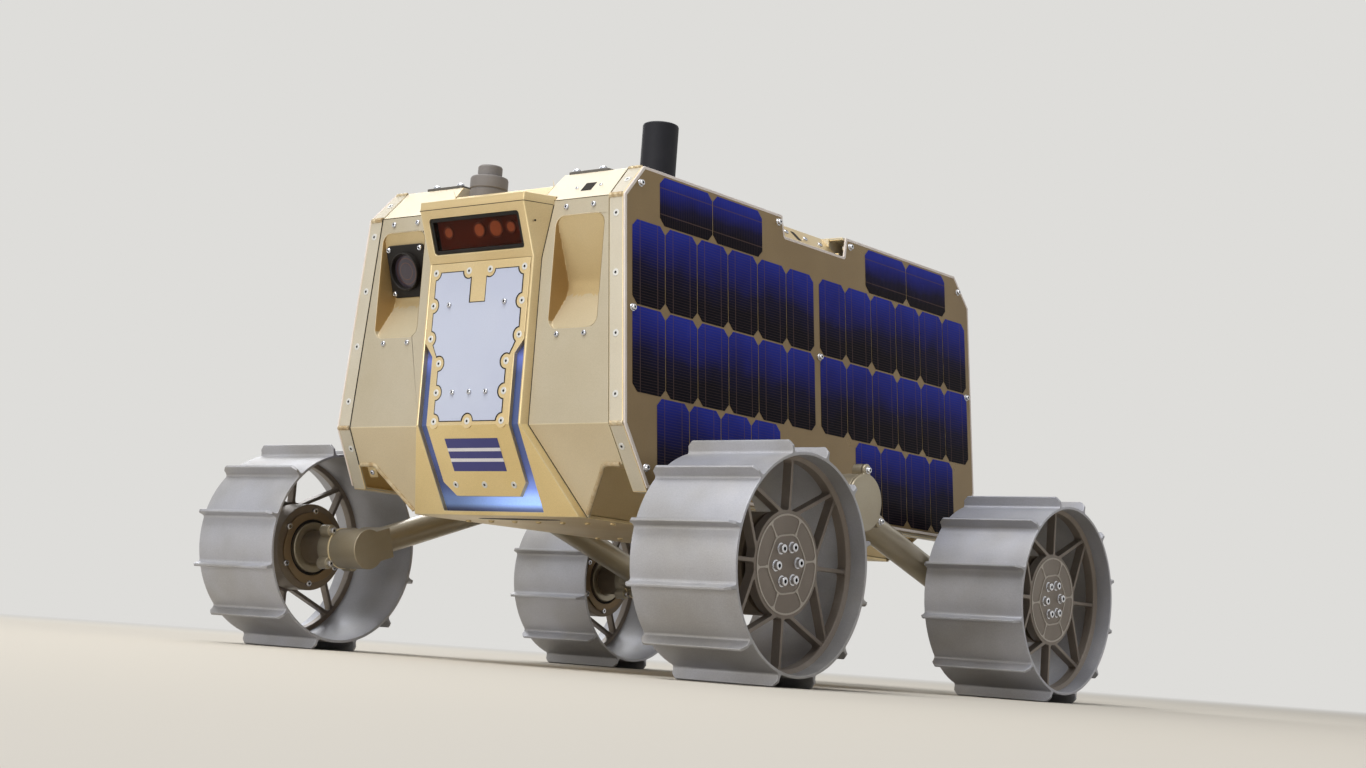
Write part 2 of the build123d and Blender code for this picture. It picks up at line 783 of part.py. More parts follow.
# Wheel motors: a drum inside each wheel, on the stub that the knuckle clamps
with BuildPart() as wheel_motors:
    for side, end in corners:
        with BuildSketch(axle_plane(side, end, motor_inner_x)):
            Circle(motor_radius)
        extrude(amount=side * (motor_outer_x - motor_inner_x))
        with BuildSketch(axle_plane(side, end, motor_inner_x - stub_flange_depth)):
            Circle(stub_flange_radius)
        extrude(amount=side * stub_flange_depth)
        with BuildSketch(axle_plane(side, end, knuckle_inner_x + skin + fit_gap)):
            Circle(stub_radius)
        extrude(amount=side * (motor_inner_x - knuckle_inner_x - skin - fit_gap))
        with BuildSketch(axle_plane(side, end, motor_outer_x)):
            Circle(spindle_radius + spindle_clearance)
        extrude(amount=-side * (spindle_engagement + running_gap), mode=Mode.SUBTRACT)
wheel_motors.part.label = "wheel_motors"
export_step(wheel_motors.part, "parts/wheel_motors.step")

# Wheels: a rim with blades, an open web of struts round a hub plate, and the spindle
# angle round the hub, angle round the rim, for one quarter: one radial strut and a V
strut_lines = [(0, 0), (15, 44), (75, 46)]
strut_reach = tread_radius - rim_wall / 2
for side, end in corners:
    with BuildPart() as wheel:
        with BuildSketch(axle_plane(side, end, rim_inner_x)):
            Circle(tread_radius)
            Circle(tread_radius - rim_wall, mode=Mode.SUBTRACT)
        extrude(amount=side * wheel_width)
        with BuildSketch(axle_plane(side, end, web_inner_x)):
            RegularPolygon(hub_radius, hub_sides)
            for quarter in range(4):
                for hub_angle, rim_angle in strut_lines:
                    root = Vector(hub_radius - 1, 0).rotate(Axis.Z, quarter * 90 + hub_angle)
                    tip = Vector(strut_reach, 0).rotate(Axis.Z, quarter * 90 + rim_angle)
                    middle = (root + tip) * 0.5
                    along = tip - root
                    turn = degrees(atan2(along.Y, along.X))
                    with Locations(Location((middle.X, middle.Y, 0), (0, 0, turn))):
                        Rectangle(along.length, strut_thickness)
            with PolarLocations(strut_reach - strut_foot_depth / 2, 8):
                Rectangle(strut_foot_depth, strut_foot_width)
        extrude(amount=side * web_depth)
        with BuildSketch(axle_plane(side, end, web_inner_x)):
            Circle(spindle_radius)
        extrude(amount=-side * (running_gap + spindle_engagement))

        # One blade on top of the rim, with its outer corners cut off, turned to each place
        blade_foot = axle_z + tread_radius - rim_wall / 2
        blade_tip = axle_z + tread_radius + grouser_height
        wheel_y = end * wheel_base / 2
        with BuildSketch(Plane.XZ.offset(-wheel_y - grouser_thickness / 2)):
            with BuildLine():
                Polyline(
                    (side * rim_inner_x, blade_foot),
                    (side * wheel_outer_x, blade_foot),
                    (side * wheel_outer_x, blade_tip - grouser_chamfer),
                    (side * (wheel_outer_x - grouser_chamfer), blade_tip),
                    (side * (rim_inner_x + grouser_chamfer), blade_tip),
                    (side * rim_inner_x, blade_tip - grouser_chamfer),
                    close=True,
                )
            make_face()
        blade = extrude(amount=grouser_thickness, mode=Mode.PRIVATE)
        axle = Axis((0, wheel_y, axle_z), (1, 0, 0))
        for blade_number in range(grouser_count):
            add(blade.rotate(axle, blade_step * (blade_number + 0.5)))
    wheel_name = "wheel_" + ("front" if end < 0 else "rear") + ("_left" if side > 0 else "_right")
    wheel.part.label = wheel_name
    export_step(wheel.part, f"parts/{wheel_name}.step")

# Console plate: the folded plate on the console, with slots of light past its lower edges
plate_outline = mirrored([
    (recess_half_width - fit_gap, kink_z + visor_low - fit_gap),
    (recess_half_width - fit_gap, kink_z + plate_shoulder),
    (plate_half_width, kink_z + plate_waist),
    (plate_half_width, kink_z + plate_foot + plate_foot_chamfer),
    (plate_half_width - plate_foot_chamfer, kink_z + plate_foot),
])
white_outline = mirrored([
    (white_notch_half, kink_z + white_notch_bottom),
    (white_notch_half, kink_z + white_top),
    (white_wide, kink_z + white_top),
    (white_wide, kink_z + white_step_high),
    (white_narrow, kink_z + white_step_low),
    (white_narrow, kink_z + white_bottom),
])
# half spacing and rise above the kink line of each pair of screws at the white cover's edge
edge_screws = [
    (white_wide + 0.7, 130.0),
    (white_wide + 0.7, 101.7),
    (white_wide + 0.7, 73.5),
    (white_narrow, 52.0),
    (white_narrow, 27.3),
    (white_narrow, 2.9),
    (white_notch_half + 3.2, 130.0),
    (0.0, 2.9),
]
with BuildPart() as cover_plate:
    add(face_band(white_outline, white_inset - white_thickness, white_inset))
    with BuildSketch(Plane.XZ.offset(half_length)):
        for screw_x, rise in edge_screws:
            with Locations((screw_x, kink_z + rise), (-screw_x, kink_z + rise)):
                Circle(scallop_radius)
    extrude(amount=console_proud * 2, mode=Mode.SUBTRACT)
cover_plate.part.label = "cover_plate"
export_step(cover_plate.part, "parts/cover_plate.step")

with BuildPart() as console_plate:
    add(face_band(plate_outline, 0.0, recess_depth - light_thickness))
    add(face_band(white_outline, -skin, white_inset), mode=Mode.SUBTRACT)
console_plate.part.label = "console_plate"
export_step(console_plate.part, "parts/console_plate.step")

with BuildPart() as light_channel:
    light_outline = mirrored([
        (recess_half_width - fit_gap, kink_z + plate_shoulder),
        (recess_half_width - fit_gap, kink_z + recess_bottom + fit_gap),
    ])
    add(face_band(light_outline, recess_depth - light_thickness + fit_gap, recess_depth))
light_channel.part.label = "light_channel"
export_step(light_channel.part, "parts/light_channel.step")

# Sensor window: bezel, glass and four lenses on one board behind it
bezel_half_width = window_half_width - fit_gap
bezel_height = window_height - fit_gap * 2
with BuildPart() as sensor_bezel:
    with BuildSketch(visor_plane(window_centre_rise, bezel_sink)):
        RectangleRounded(bezel_half_width * 2, bezel_height, window_corner - fit_gap)
        Rectangle((bezel_half_width - bezel_wall) * 2, bezel_height - bezel_wall * 2, mode=Mode.SUBTRACT)
    extrude(amount=-bezel_depth)
sensor_bezel.part.label = "sensor_bezel"
export_step(sensor_bezel.part, "parts/sensor_bezel.step")

glass_play = fit_gap / 6
with BuildPart() as sensor_glass:
    with BuildSketch(visor_plane(window_centre_rise, bezel_sink + bezel_depth / 4)):
        Rectangle(
            (bezel_half_width - bezel_wall - glass_play) * 2, bezel_height - (bezel_wall + glass_play) * 2
        )
    extrude(amount=-glass_thickness)
sensor_glass.part.label = "sensor_glass"
export_step(sensor_glass.part, "parts/sensor_glass.step")

# place along the window, radius of each lens
lens_end = window_half_width - lens_end_margin
lens_row = [(-lens_end, 4.0), (0.0, 6.5), (19.0, 7.0), (lens_end, 4.0)]
lens_rise = 2.0
with BuildPart() as sensor_lenses:
    with BuildSketch(visor_plane(window_centre_rise, window_depth - fit_gap)):
        Rectangle((window_half_width - bezel_wall) * 2, window_height - bezel_wall * 2)
    extrude(amount=board_thickness)
    with BuildSketch(visor_plane(window_centre_rise, window_depth - fit_gap)):
        for lens_x, lens_radius in lens_row:
            with Locations((lens_x, lens_rise)):
                Circle(lens_radius)
    extrude(amount=lens_depth + board_thickness)
sensor_lenses.part.label = "sensor_lenses"
export_step(sensor_lenses.part, "parts/sensor_lenses.step")

# Camera in the right flank's pocket: a square plate on the scoop's back wall and its lens
back_wall_top, back_wall_foot, _ = pocket_profile()
back_run = back_wall_foot[0] - back_wall_top[0]
back_drop = back_wall_top[1] - back_wall_foot[1]
pocket_angle = atan(back_run / back_drop)
pocket_normal = Vector(0, -cos(pocket_angle), -sin(pocket_angle))
camera_y = back_wall_top[0] + (back_wall_top[1] - kink_z - camera_rise) * tan(pocket_angle)
camera_plane = Plane(
    origin=Vector(-pocket_middle_x, camera_y, kink_z + camera_rise) + pocket_normal * fit_gap,
    x_dir=(1, 0, 0),
    z_dir=pocket_normal,
)
camera_plate_size = pocket_width - camera_margin * 2
with BuildPart() as camera_plate:
    with BuildSketch(camera_plane):
        RectangleRounded(camera_plate_size, camera_plate_size, camera_corner)
    extrude(amount=camera_plate_thickness)
camera_plate.part.label = "camera_plate"
export_step(camera_plate.part, "parts/camera_plate.step")

with BuildPart() as camera_lens:
    with BuildSketch(camera_plane.offset(camera_plate_thickness)):
        Circle(camera_lens_radius)
    extrude(amount=camera_lens_depth)
    with BuildSketch(camera_plane.offset(camera_plate_thickness + camera_lens_depth)):
        Circle(camera_lens_radius - camera_lens_wall)
    extrude(amount=-camera_lens_depth / 2, mode=Mode.SUBTRACT)
camera_lens.part.label = "camera_lens"
export_step(camera_lens.part, "parts/camera_lens.step")

# Antennas on the roof
mast_x = kink_half_width - mast_side_margin
with BuildPart() as antenna_mast:
    with BuildSketch(Plane.XY.offset(top_z)):
        with Locations((mast_x, nose_y + mast_from_nose)):
            Circle(mast_radius)
    extrude(amount=mast_height)
antenna_mast.part.label = "antenna_mast"
export_step(antenna_mast.part, "parts/antenna_mast.step")

with BuildPart() as antenna_puck:
    with BuildSketch(Plane.XY.offset(channel_z)):
        with Locations((puck_x, nose_y + puck_from_nose)):
            Circle(puck_radius)
    extrude(amount=puck_height)
    with BuildSketch(Plane.XY.offset(channel_z)):
        with Locations((puck_x, nose_y + puck_from_nose)):
            Circle(puck_top_radius)
    extrude(amount=puck_height + puck_top_height)
antenna_puck.part.label = "antenna_puck"
export_step(antenna_puck.part, "parts/antenna_puck.step")
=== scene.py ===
import json
import math

import bmesh
import bpy
from mathutils import Matrix, Vector


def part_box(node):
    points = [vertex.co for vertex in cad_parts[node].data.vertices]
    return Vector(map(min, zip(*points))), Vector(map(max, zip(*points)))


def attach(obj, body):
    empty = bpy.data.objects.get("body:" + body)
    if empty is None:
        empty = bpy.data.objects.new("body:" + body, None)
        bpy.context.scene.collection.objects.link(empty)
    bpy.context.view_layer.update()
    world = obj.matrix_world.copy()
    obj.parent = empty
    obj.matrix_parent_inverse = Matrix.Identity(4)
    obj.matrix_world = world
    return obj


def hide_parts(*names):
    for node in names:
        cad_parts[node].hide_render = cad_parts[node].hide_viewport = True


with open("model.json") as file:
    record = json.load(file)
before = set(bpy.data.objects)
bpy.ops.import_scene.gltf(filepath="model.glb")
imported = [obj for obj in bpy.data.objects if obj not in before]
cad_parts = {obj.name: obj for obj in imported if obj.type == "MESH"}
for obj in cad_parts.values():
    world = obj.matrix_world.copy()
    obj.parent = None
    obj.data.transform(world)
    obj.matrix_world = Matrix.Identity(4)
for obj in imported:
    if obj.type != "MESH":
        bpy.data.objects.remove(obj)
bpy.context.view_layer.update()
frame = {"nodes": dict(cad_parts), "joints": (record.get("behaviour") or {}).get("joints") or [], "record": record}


# Camera: it stands on the floor off the front left corner and looks up at the body. The body
# leans in the picture, so the camera is rolled by four degrees.
def add_object(name, data):
    """Object in the scene."""
    made = bpy.data.objects.new(name, data)
    bpy.context.scene.collection.objects.link(made)
    return made


camera_data = bpy.data.cameras.new("floor_camera")
camera_data.lens = 54.196
camera_data.sensor_width = 36.0
camera_data.clip_start = 0.02
camera_axes = [
    # right, up and back, as the picture has them
    (0.78004, 0.62165, 0.07129),
    (0.02566, -0.14562, 0.98901),
    (0.62520, -0.76964, -0.12954),
]
camera = add_object("floor_camera", camera_data)
camera_turn = Matrix(camera_axes).transposed().to_4x4()
camera.matrix_world = Matrix.Translation((1.20156, -1.47134, 0.020)) @ camera_turn
bpy.context.scene.camera = camera
bpy.context.scene.view_settings.view_transform = "Standard"


# Floor and light: a plain pale floor that fades into a pale backdrop, under an even pale sky.
# A wide soft lamp hangs overhead, and weaker ones stand in front, at the rear and at the side.
def shade(red, green, blue):
    """Colour as it is read off a screen, made linear."""
    linear = [((c / 255 + 0.055) / 1.055) ** 2.4 if c > 10 else c / 3294 for c in (red, green, blue)]
    return (*linear, 1.0)


def set_inputs(tree, node, inputs):
    """Each input gets a value, or a link where it is a pair of an earlier node and its output."""
    for key, value in inputs.items():
        if isinstance(value, tuple) and isinstance(value[0], bpy.types.Node):
            tree.links.new(value[0].outputs[value[1]], node.inputs[key])
        else:
            node.inputs[key].default_value = value


def add_node(tree, kind, inputs=None, **settings):
    """One shader node; its settings are made before its inputs."""
    node = tree.nodes.new("ShaderNode" + kind)
    for key, value in settings.items():
        setattr(node, key, value)
    set_inputs(tree, node, inputs or {})
    return node


def maths(tree, operation, *terms):
    """Output of a sum on one or two terms."""
    return add_node(tree, "Math", dict(enumerate(terms)), operation=operation), 0


def mapped(tree, *values, kind="LINEAR", clamp=True):
    """Output for a value, its least and its greatest, and what those two become."""
    return add_node(tree, "MapRange", dict(enumerate(values)), interpolation_type=kind, clamp=clamp), 0


def mesh_of(bm, name):
    """Mesh of what has been drawn."""
    mesh = bpy.data.meshes.new(name)
    bm.to_mesh(mesh)
    bm.free()
    return mesh


def aimed(direction):
    """Turn that brings local z along a direction."""
    return Vector(direction).to_track_quat("Z", "Y").to_matrix().to_4x4()


backdrop_tone = shade(222, 221, 218)
world = bpy.data.worlds.new("pale_room")
world.use_nodes = True
bpy.context.scene.world = world
sky = world.node_tree
sky.nodes.clear()
path = add_node(sky, "LightPath")
through = maths(sky, "MAXIMUM", (path, "Is Camera Ray"), (path, "Is Transmission Ray"))
seen = maths(sky, "MAXIMUM", through, (path, "Is Glossy Ray"))
lit = add_node(sky, "Background", {"Color": shade(232, 234, 240), "Strength": 0.28})
shown = add_node(sky, "Background", {"Color": backdrop_tone, "Strength": 1.0})
sky_mix = add_node(sky, "MixShader", {0: seen, 1: (lit, 0), 2: (shown, 0)})
add_node(sky, "OutputWorld", {"Surface": (sky_mix, 0)})

floor_bm = bmesh.new()
bmesh.ops.create_circle(floor_bm, cap_ends=True, segments=96, radius=14.0)
floor = add_object("floor", mesh_of(floor_bm, "floor"))
floor_finish = bpy.data.materials.new("pale_floor")
floor_finish.use_nodes = True
ground = floor_finish.node_tree
ground.nodes.clear()
floor_place = add_node(ground, "TexCoord")
distance = add_node(ground, "VectorMath", {0: (floor_place, "Object")}, operation="LENGTH")
haze = mapped(ground, (distance, "Value"), 0.9, 3.2, kind="SMOOTHSTEP")
floor_near = add_node(ground, "BsdfDiffuse", {"Color": shade(213, 206, 193)})
floor_far = add_node(ground, "Emission", {"Color": backdrop_tone, "Strength": 1.0})
floor_mix = add_node(ground, "MixShader", {0: haze, 1: (floor_near, 0), 2: (floor_far, 0)})
add_node(ground, "OutputMaterial", {"Surface": (floor_mix, 0)})
floor.data.materials.append(floor_finish)

lamp_table = [
    # name, place, aimed at, width, height, watts, colour
    ("overhead_lamp", (0.1, -1.45, 2.75), (0.0, 0.0, 0.25), 2.0, 1.6, 74.0, (0.97, 0.98, 1.0)),
    ("front_lamp", (-0.3, -2.6, 0.4), (0.0, 0.0, 0.2), 1.8, 0.6, 16.0, (1.0, 0.98, 0.95)),
    ("window_lamp", (-1.8, 0.9, 1.7), (-0.1, 0.0, 0.15), 1.4, 1.2, 24.0, (0.95, 0.97, 1.0)),
    ("side_lamp", (2.8, 0.6, 1.2), (0.0, 0.0, 0.25), 1.2, 1.6, 2.0, (0.95, 0.97, 1.0)),
]
for lamp_name, lamp_place, aim, wide, tall, watts, tint in lamp_table:
    lamp_data = bpy.data.lights.new(lamp_name, "AREA")
    lamp_data.shape = "RECTANGLE"
    lamp_data.size = wide
    lamp_data.size_y = tall
    lamp_data.energy = watts
    lamp_data.color = tint
    lamp = add_object(lamp_name, lamp_data)
    lamp.matrix_world = Matrix.Translation(lamp_place) @ aimed(Vector(lamp_place) - Vector(aim))


# Body: folded aluminium sheet with a satin gold coat. The coat has a fine grain, its colour
# drifts a little, its eased edges are paler and dust has settled on it.
def effect_group(name, amounts, outputs):
    """Shader group for an effect that several finishes share, with named inputs and outputs."""
    group = bpy.data.node_groups.new(name, "ShaderNodeTree")
    group.interface.new_socket("Place", in_out="INPUT", socket_type="NodeSocketVector")
    for label, value in amounts.items():
        amount = group.interface.new_socket(label, in_out="INPUT", socket_type="NodeSocketFloat")
        amount.default_value = value
    for label in outputs:
        group.interface.new_socket(label, in_out="OUTPUT", socket_type="NodeSocketFloat")
    return group, group.nodes.new("NodeGroupInput"), group.nodes.new("NodeGroupOutput")


def noise(group, place, scale, detail, roughness=0.5):
    """Output of a noise in a group."""
    inputs = {"Vector": place, "Scale": scale, "Detail": detail, "Roughness": roughness}
    return add_node(group, "TexNoise", inputs), 0


def mixed(tree, weight, first, second, kind="RGBA"):
    """Output of a mix of two colours, or of two numbers where the kind is FLOAT."""
    at, out = (6, 2) if kind == "RGBA" else (2, 0)
    return add_node(tree, "Mix", {0: weight, at: first, at + 1: second}, data_type=kind), out


grain_group, asked, given = effect_group(
    "surface_grain", {"Grain Scale": 1500.0, "Drift Scale": 9.0}, ("Speckle", "Drift")
)
fine = noise(grain_group, (asked, "Place"), (asked, "Grain Scale"), 2.0)
broad = noise(grain_group, (asked, "Place"), (asked, "Drift Scale"), 3.0, 0.55)
set_inputs(grain_group, given, {"Speckle": fine, "Drift": broad})

dust_group, asked, given = effect_group("settled_dust", {"Amount": 0.3}, ("Mask",))
surface_turn = add_node(dust_group, "NewGeometry")
turn_parts = add_node(dust_group, "SeparateXYZ", {0: (surface_turn, "Normal")})
upness = mapped(dust_group, (turn_parts, "Z"), -0.2, 0.9, 0.25, 1.0)
patches = noise(dust_group, (asked, "Place"), 22.0, 6.0, 0.65)
patch_mask = mapped(dust_group, patches, 0.42, 0.78, kind="SMOOTHSTEP")
lying = maths(dust_group, "MULTIPLY", patch_mask, upness)
set_inputs(dust_group, given, {"Mask": maths(dust_group, "MULTIPLY", lying, (asked, "Amount"))})
dust_tone = shade(206, 202, 194)
dust_roughness = 0.85


def new_finish(name):
    """Material, its nodes and its shader."""
    finish = bpy.data.materials.new(name)
    finish.use_nodes = True
    return finish, finish.node_tree, finish.node_tree.nodes["Principled BSDF"]


def coated(
    name, tone, drift_tone, metallic, roughness,
    grain=1500.0, relief=0.00004, dust=0.25, drift=9.0, gloss=0.5,
):
    """Grained, slightly uneven coat over sheet, machined or moulded stuff, with some dust on it."""
    finish, tree, surface = new_finish(name)
    place = (add_node(tree, "TexCoord"), "Object")
    grain_inputs = {"Place": place, "Grain Scale": grain, "Drift Scale": drift}
    grained = add_node(tree, "Group", grain_inputs, node_tree=grain_group)
    drifting = mapped(tree, (grained, "Drift"), 0.32, 0.68, kind="SMOOTHSTEP")
    body = mixed(tree, drifting, shade(*tone), shade(*drift_tone))
    speckle = mapped(tree, (grained, "Speckle"), 0.3, 0.7, 0.93, 1.05)
    colour = (add_node(tree, "VectorMath", {0: body, "Scale": speckle}, operation="SCALE"), 0)
    rough = mapped(tree, (grained, "Drift"), 0.25, 0.75, roughness - 0.05, roughness + 0.05)
    metal = metallic
    if dust:
        mask = (add_node(tree, "Group", {"Place": place, "Amount": dust}, node_tree=dust_group), "Mask")
        colour = mixed(tree, mask, colour, dust_tone)
        rough = mixed(tree, mask, rough, dust_roughness, "FLOAT")
        if metallic:
            metal = maths(tree, "MULTIPLY", maths(tree, "SUBTRACT", 1.0, mask), metallic)
    bump = add_node(tree, "Bump", {"Height": (grained, "Speckle"), "Strength": 0.6, "Distance": relief})
    set_inputs(tree, surface, {"Base Color": colour, "Roughness": rough, "Metallic": metal})
    set_inputs(tree, surface, {"Normal": (bump, 0), "Specular IOR Level": gloss})
    return finish


def shaped_mesh(maker):
    """Mesh that an object makes with its modifiers, or a curve with its thickness."""
    bpy.context.view_layer.update()
    return bpy.data.meshes.new_from_object(maker.evaluated_get(bpy.context.evaluated_depsgraph_get()))


def ease_edges(piece, width, steps, angle):
    """Rounds off the edges that are sharper than an angle."""
    easing = piece.modifiers.new("easing", "BEVEL")
    easing.width = width
    easing.segments = steps
    easing.limit_method = "ANGLE"
    easing.angle_limit = math.radians(angle)
    easing.use_clamp_overlap = False
    return easing


def finish_piece(piece, body, nodes):
    """Applies what shapes a piece, shades it smooth but for its sharp edges, and hands it over."""
    shaped = shaped_mesh(piece)
    piece.modifiers.clear()
    piece.data = shaped
    shaped.shade_smooth()
    shaped.set_sharp_from_angle(angle=math.radians(32))
    weighting = piece.modifiers.new("flat_faces", "WEIGHTED_NORMAL")
    weighting.keep_sharp = True
    weighting.weight = 80
    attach(piece, body)
    if nodes:
        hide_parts(*nodes)
    return piece


body_of = {node: body for body, nodes in frame["record"]["behaviour"]["bodies"].items() for node in nodes}


def softened(node, finish, edge_finish=None, width=0.0005, steps=2):
    """The CAD solid with its sharp edges eased, as the real plate's are; it stands for the node."""
    bm = bmesh.new()
    bm.from_mesh(frame["nodes"][node].data)
    bmesh.ops.remove_doubles(bm, verts=bm.verts, dist=2e-6)
    bmesh.ops.dissolve_limit(bm, angle_limit=math.radians(0.6), verts=bm.verts, edges=bm.edges)
    mesh = mesh_of(bm, node + "_eased")
    for layer in ("custom_normal", "sharp_edge", "sharp_face"):
        if layer in mesh.attributes:
            mesh.attributes.remove(mesh.attributes[layer])
    for face in mesh.polygons:
        face.material_index = 0
    mesh.materials.append(finish)
    piece = add_object(node + "_eased", mesh)
    easing = ease_edges(piece, width, steps, 28)
    easing.miter_outer = "MITER_ARC"
    if edge_finish:
        mesh.materials.append(edge_finish)
        easing.material = 1
    return finish_piece(piece, body_of[node], [node])


gold_coat = coated("gold_coat", (221, 200, 156), (211, 188, 142), 0.85, 0.4, dust=0.2)
# the eased edges get a paler copy of the coat
gold_edge = coated("gold_coat_pale_edge", (236, 219, 178), (222, 200, 150), 0.6, 0.38, dust=0.1)
for node in ("chassis_tub", "roof_deck", "roof_nose_plate"):
    softened(node, gold_coat, gold_edge)


# Side frames: channel strips brazed up at their bends, round each side of the body. Their
# countersunk screws are zinc-plated, and the brazed corners are left rough and browned.
def skin(bm, rings):
    """Faces between closed rings of points that follow each other."""
    for ring, following in zip(rings, rings[1:]):
        for here in range(len(ring)):
            there = (here + 1) % len(ring)
            bm.faces.new((ring[here], ring[there], following[there], following[here]))


def turned(rows, steps=48):
    """Round mesh in millimetres about local z, from rows of radius, height and any polygon's sides."""
    bm = bmesh.new()
    rings = []
    for radius, height, *sides in rows:
        ring = []
        for step in range(steps):
            angle = 2 * math.pi * step / steps
            reach = radius
            if sides:
                half = math.pi / sides[0]
                reach = radius * math.cos(half) / math.cos(angle % (2 * half) - half)
            ring.append(bm.verts.new((reach * math.cos(angle), reach * math.sin(angle), height)))
        rings.append(ring)
    skin(bm, rings)
    bmesh.ops.remove_doubles(bm, verts=bm.verts, dist=0.004)
    return mesh_of(bm, "turned")


def socketed(rows, inside, steps=48):
    """Turned head whose faces inside a radius, such as a screw's socket, get the second finish."""
    head = turned(rows, steps)
    for face in head.polygons:
        if all(math.hypot(*head.vertices[v].co.xy) < inside for v in face.vertices):
            face.material_index = 1
    return head


def curve_mesh(curve, loops, closed):
    """Mesh that a curve through points makes with its thickness."""
    for loop in loops:
        spline = curve.splines.new("POLY")
        spline.points.add(len(loop) - 1)
        for point, (x, y, *z) in zip(spline.points, loop):
            point.co = (x, y, z[0] if z else 0, 1)
        spline.use_cyclic_u = closed
    holder = add_object("curve", curve)
    mesh = shaped_mesh(holder)
    bpy.data.objects.remove(holder)
    return mesh


def wire(points, radius, closed=False):
    """Round wire in millimetres along points, for a bead, or sunk halfway for a seam of painted shadow."""
    curve = bpy.data.curves.new("wire", "CURVE")
    curve.dimensions = "3D"
    curve.bevel_depth = radius
    curve.bevel_resolution = 2
    curve.use_fill_caps = True
    return curve_mesh(curve, [points], closed)


def gather(name, parts, finishes, nodes=(), body="chassis", ease=0.0):
    """Joins meshes, each set in its place or list of places, into one piece on a body."""
    bm = bmesh.new()
    for part, places in parts:
        for place in places if isinstance(places, list) else [places]:
            first = len(bm.verts)
            bm.from_mesh(part)
            bm.verts.ensure_lookup_table()
            bmesh.ops.transform(bm, matrix=place, verts=bm.verts[first:])
    bmesh.ops.recalc_face_normals(bm, faces=bm.faces)
    piece = add_object(name, mesh_of(bm, name))
    for finish in finishes:
        piece.data.materials.append(finish)
    if ease:
        ease_edges(piece, ease, 2, 32)
    return finish_piece(piece, body, nodes)


# the pivots lie below the line where the nose kinks; lengths on the body are in millimetres
hub_low, hub_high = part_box("rocker_hubs")
pivot_drop = 0.035
pivot_z = (hub_low.z + hub_high.z) / 2
kink_z = pivot_z + pivot_drop
nose_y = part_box("flank_cover_left")[0].y
rear_y = -2 * nose_y / 0.001
in_mm = Matrix.Scale(0.001, 4)
on_body = Matrix.Translation((0, nose_y, kink_z)) @ in_mm


def facing(x, y, z, normal, turn=0.0):
    """Place on the body, in millimetres from the nose and the kink line, local z along a normal."""
    at = Matrix.Translation((x * 0.001, nose_y + y * 0.001, kink_z + z * 0.001))
    return at @ aimed(normal) @ Matrix.Rotation(math.radians(turn), 4, "Z") @ in_mm


def both_ends(x, back, rise, normal, turn, rear_turn):
    """A place near the nose and its mirror near the tail."""
    rear_normal = (normal[0], -normal[1], normal[2])
    return [facing(x, back, rise, normal, turn), facing(x, rear_y - back, rise, rear_normal, rear_turn)]


# the ways that the nose's faces look: straight ahead, under the kink, and up at the roof's edge
front = (0, -1, 0)
under = (0, -0.866, -0.5)
brow = (0, -0.7526, 0.6585)
frame_coat = coated("frame_coat", (204, 196, 178), (196, 187, 167), 0.4, 0.45)
for node in ("side_frame_left", "side_frame_right"):
    softened(node, frame_coat, gold_edge, 0.0007)
zinc = coated("zinc_plate", (224, 223, 218), (208, 207, 203), 0.35, 0.35, relief=1e-5, dust=0.05)
# painted shade: the dark inside of each screw's socket
socket = coated("socket_shadow", (30, 30, 34), (20, 20, 24), 0.3, 0.6, dust=0.0)
rows = [(0.01, 0.08), (1.2, 0.08, 6), (1.25, 0.34, 6), (1.5, 0.4), (2.6, 0.4), (2.9, 0.28), (3.05, 0.0)]
flat_screw = socketed(rows, 1.45, 36)
skirt_slope = 0.577
places = []
for side in (1, -1):
    for x, rise in ((140.3, 169.2), (144.5, 120.6), (149.5, 71.7), (153.9, 23.1)):
        places += both_ends(side * x, 0, rise, front, 12 * rise, 7 * rise)
    places += both_ends(side * 156.0, 17.2 * skirt_slope, -17.2, under, 20, 20)
    places += both_ends(side * 138.0, 13.2, 199.6, brow, 40, 40)
gather("strip_screws", [(flat_screw, places)], [zinc, socket])

braze = coated(
    "braze", (203, 188, 156), (180, 155, 116), 0.4, 0.5,
    grain=420.0, relief=0.0003, dust=0.2, drift=160.0,
)
bead_table = [
    # outer x, inner x, distance from the nose, rise, radius
    (163.6, 150.2, 0.9, 0.2, 2.2),
    (144.8, 131.6, 1.1, 184.0, 2.5),
    (142.2, 129.2, 24.6, 211.9, 1.8),
]
bead_steps = 12
beads = []
for outer, inner, back, rise, radius in bead_table:
    for side in (1, -1):
        for y in (back, rear_y - back):
            points = []
            for n in range(bead_steps + 1):
                x = outer + (inner - outer) * n / bead_steps
                wander, wave = 0.25 * math.sin(5.1 * n + outer), 0.3 * math.sin(3.7 * n)
                points.append((side * x, y + wander, rise + wave))
            beads.append((wire(points, radius), on_body))
gather("brazed_corners", beads, [braze])


# Flank covers: folded sheet with a matt sand-coloured coat, each with a pressed pocket whose
# lining is gold. Dome screws hold it above and below the pocket; a brazed lip edges its foot.
def bounce_lit_coat(piece, finish):
    """Gives the front faces below the kink a brighter copy of the finish: painted light for the floor's bounce."""
    piece.data.materials.append(finish)
    for face in piece.data.polygons:
        if face.material_index == 0 and face.normal.y < -0.3 and face.center.z < kink_z:
            face.material_index = 2


def polar(radius, degrees):
    """Point at a radius and an angle."""
    return (radius * math.cos(math.radians(degrees)), radius * math.sin(math.radians(degrees)))


def blended(a, b, k):
    """The smaller of two depths, with the corner between them rounded."""
    if k < 0.001:
        return min(a, b)
    h = max(k - abs(a - b), 0.0) / k
    return min(a, b) - h * h * k / 4


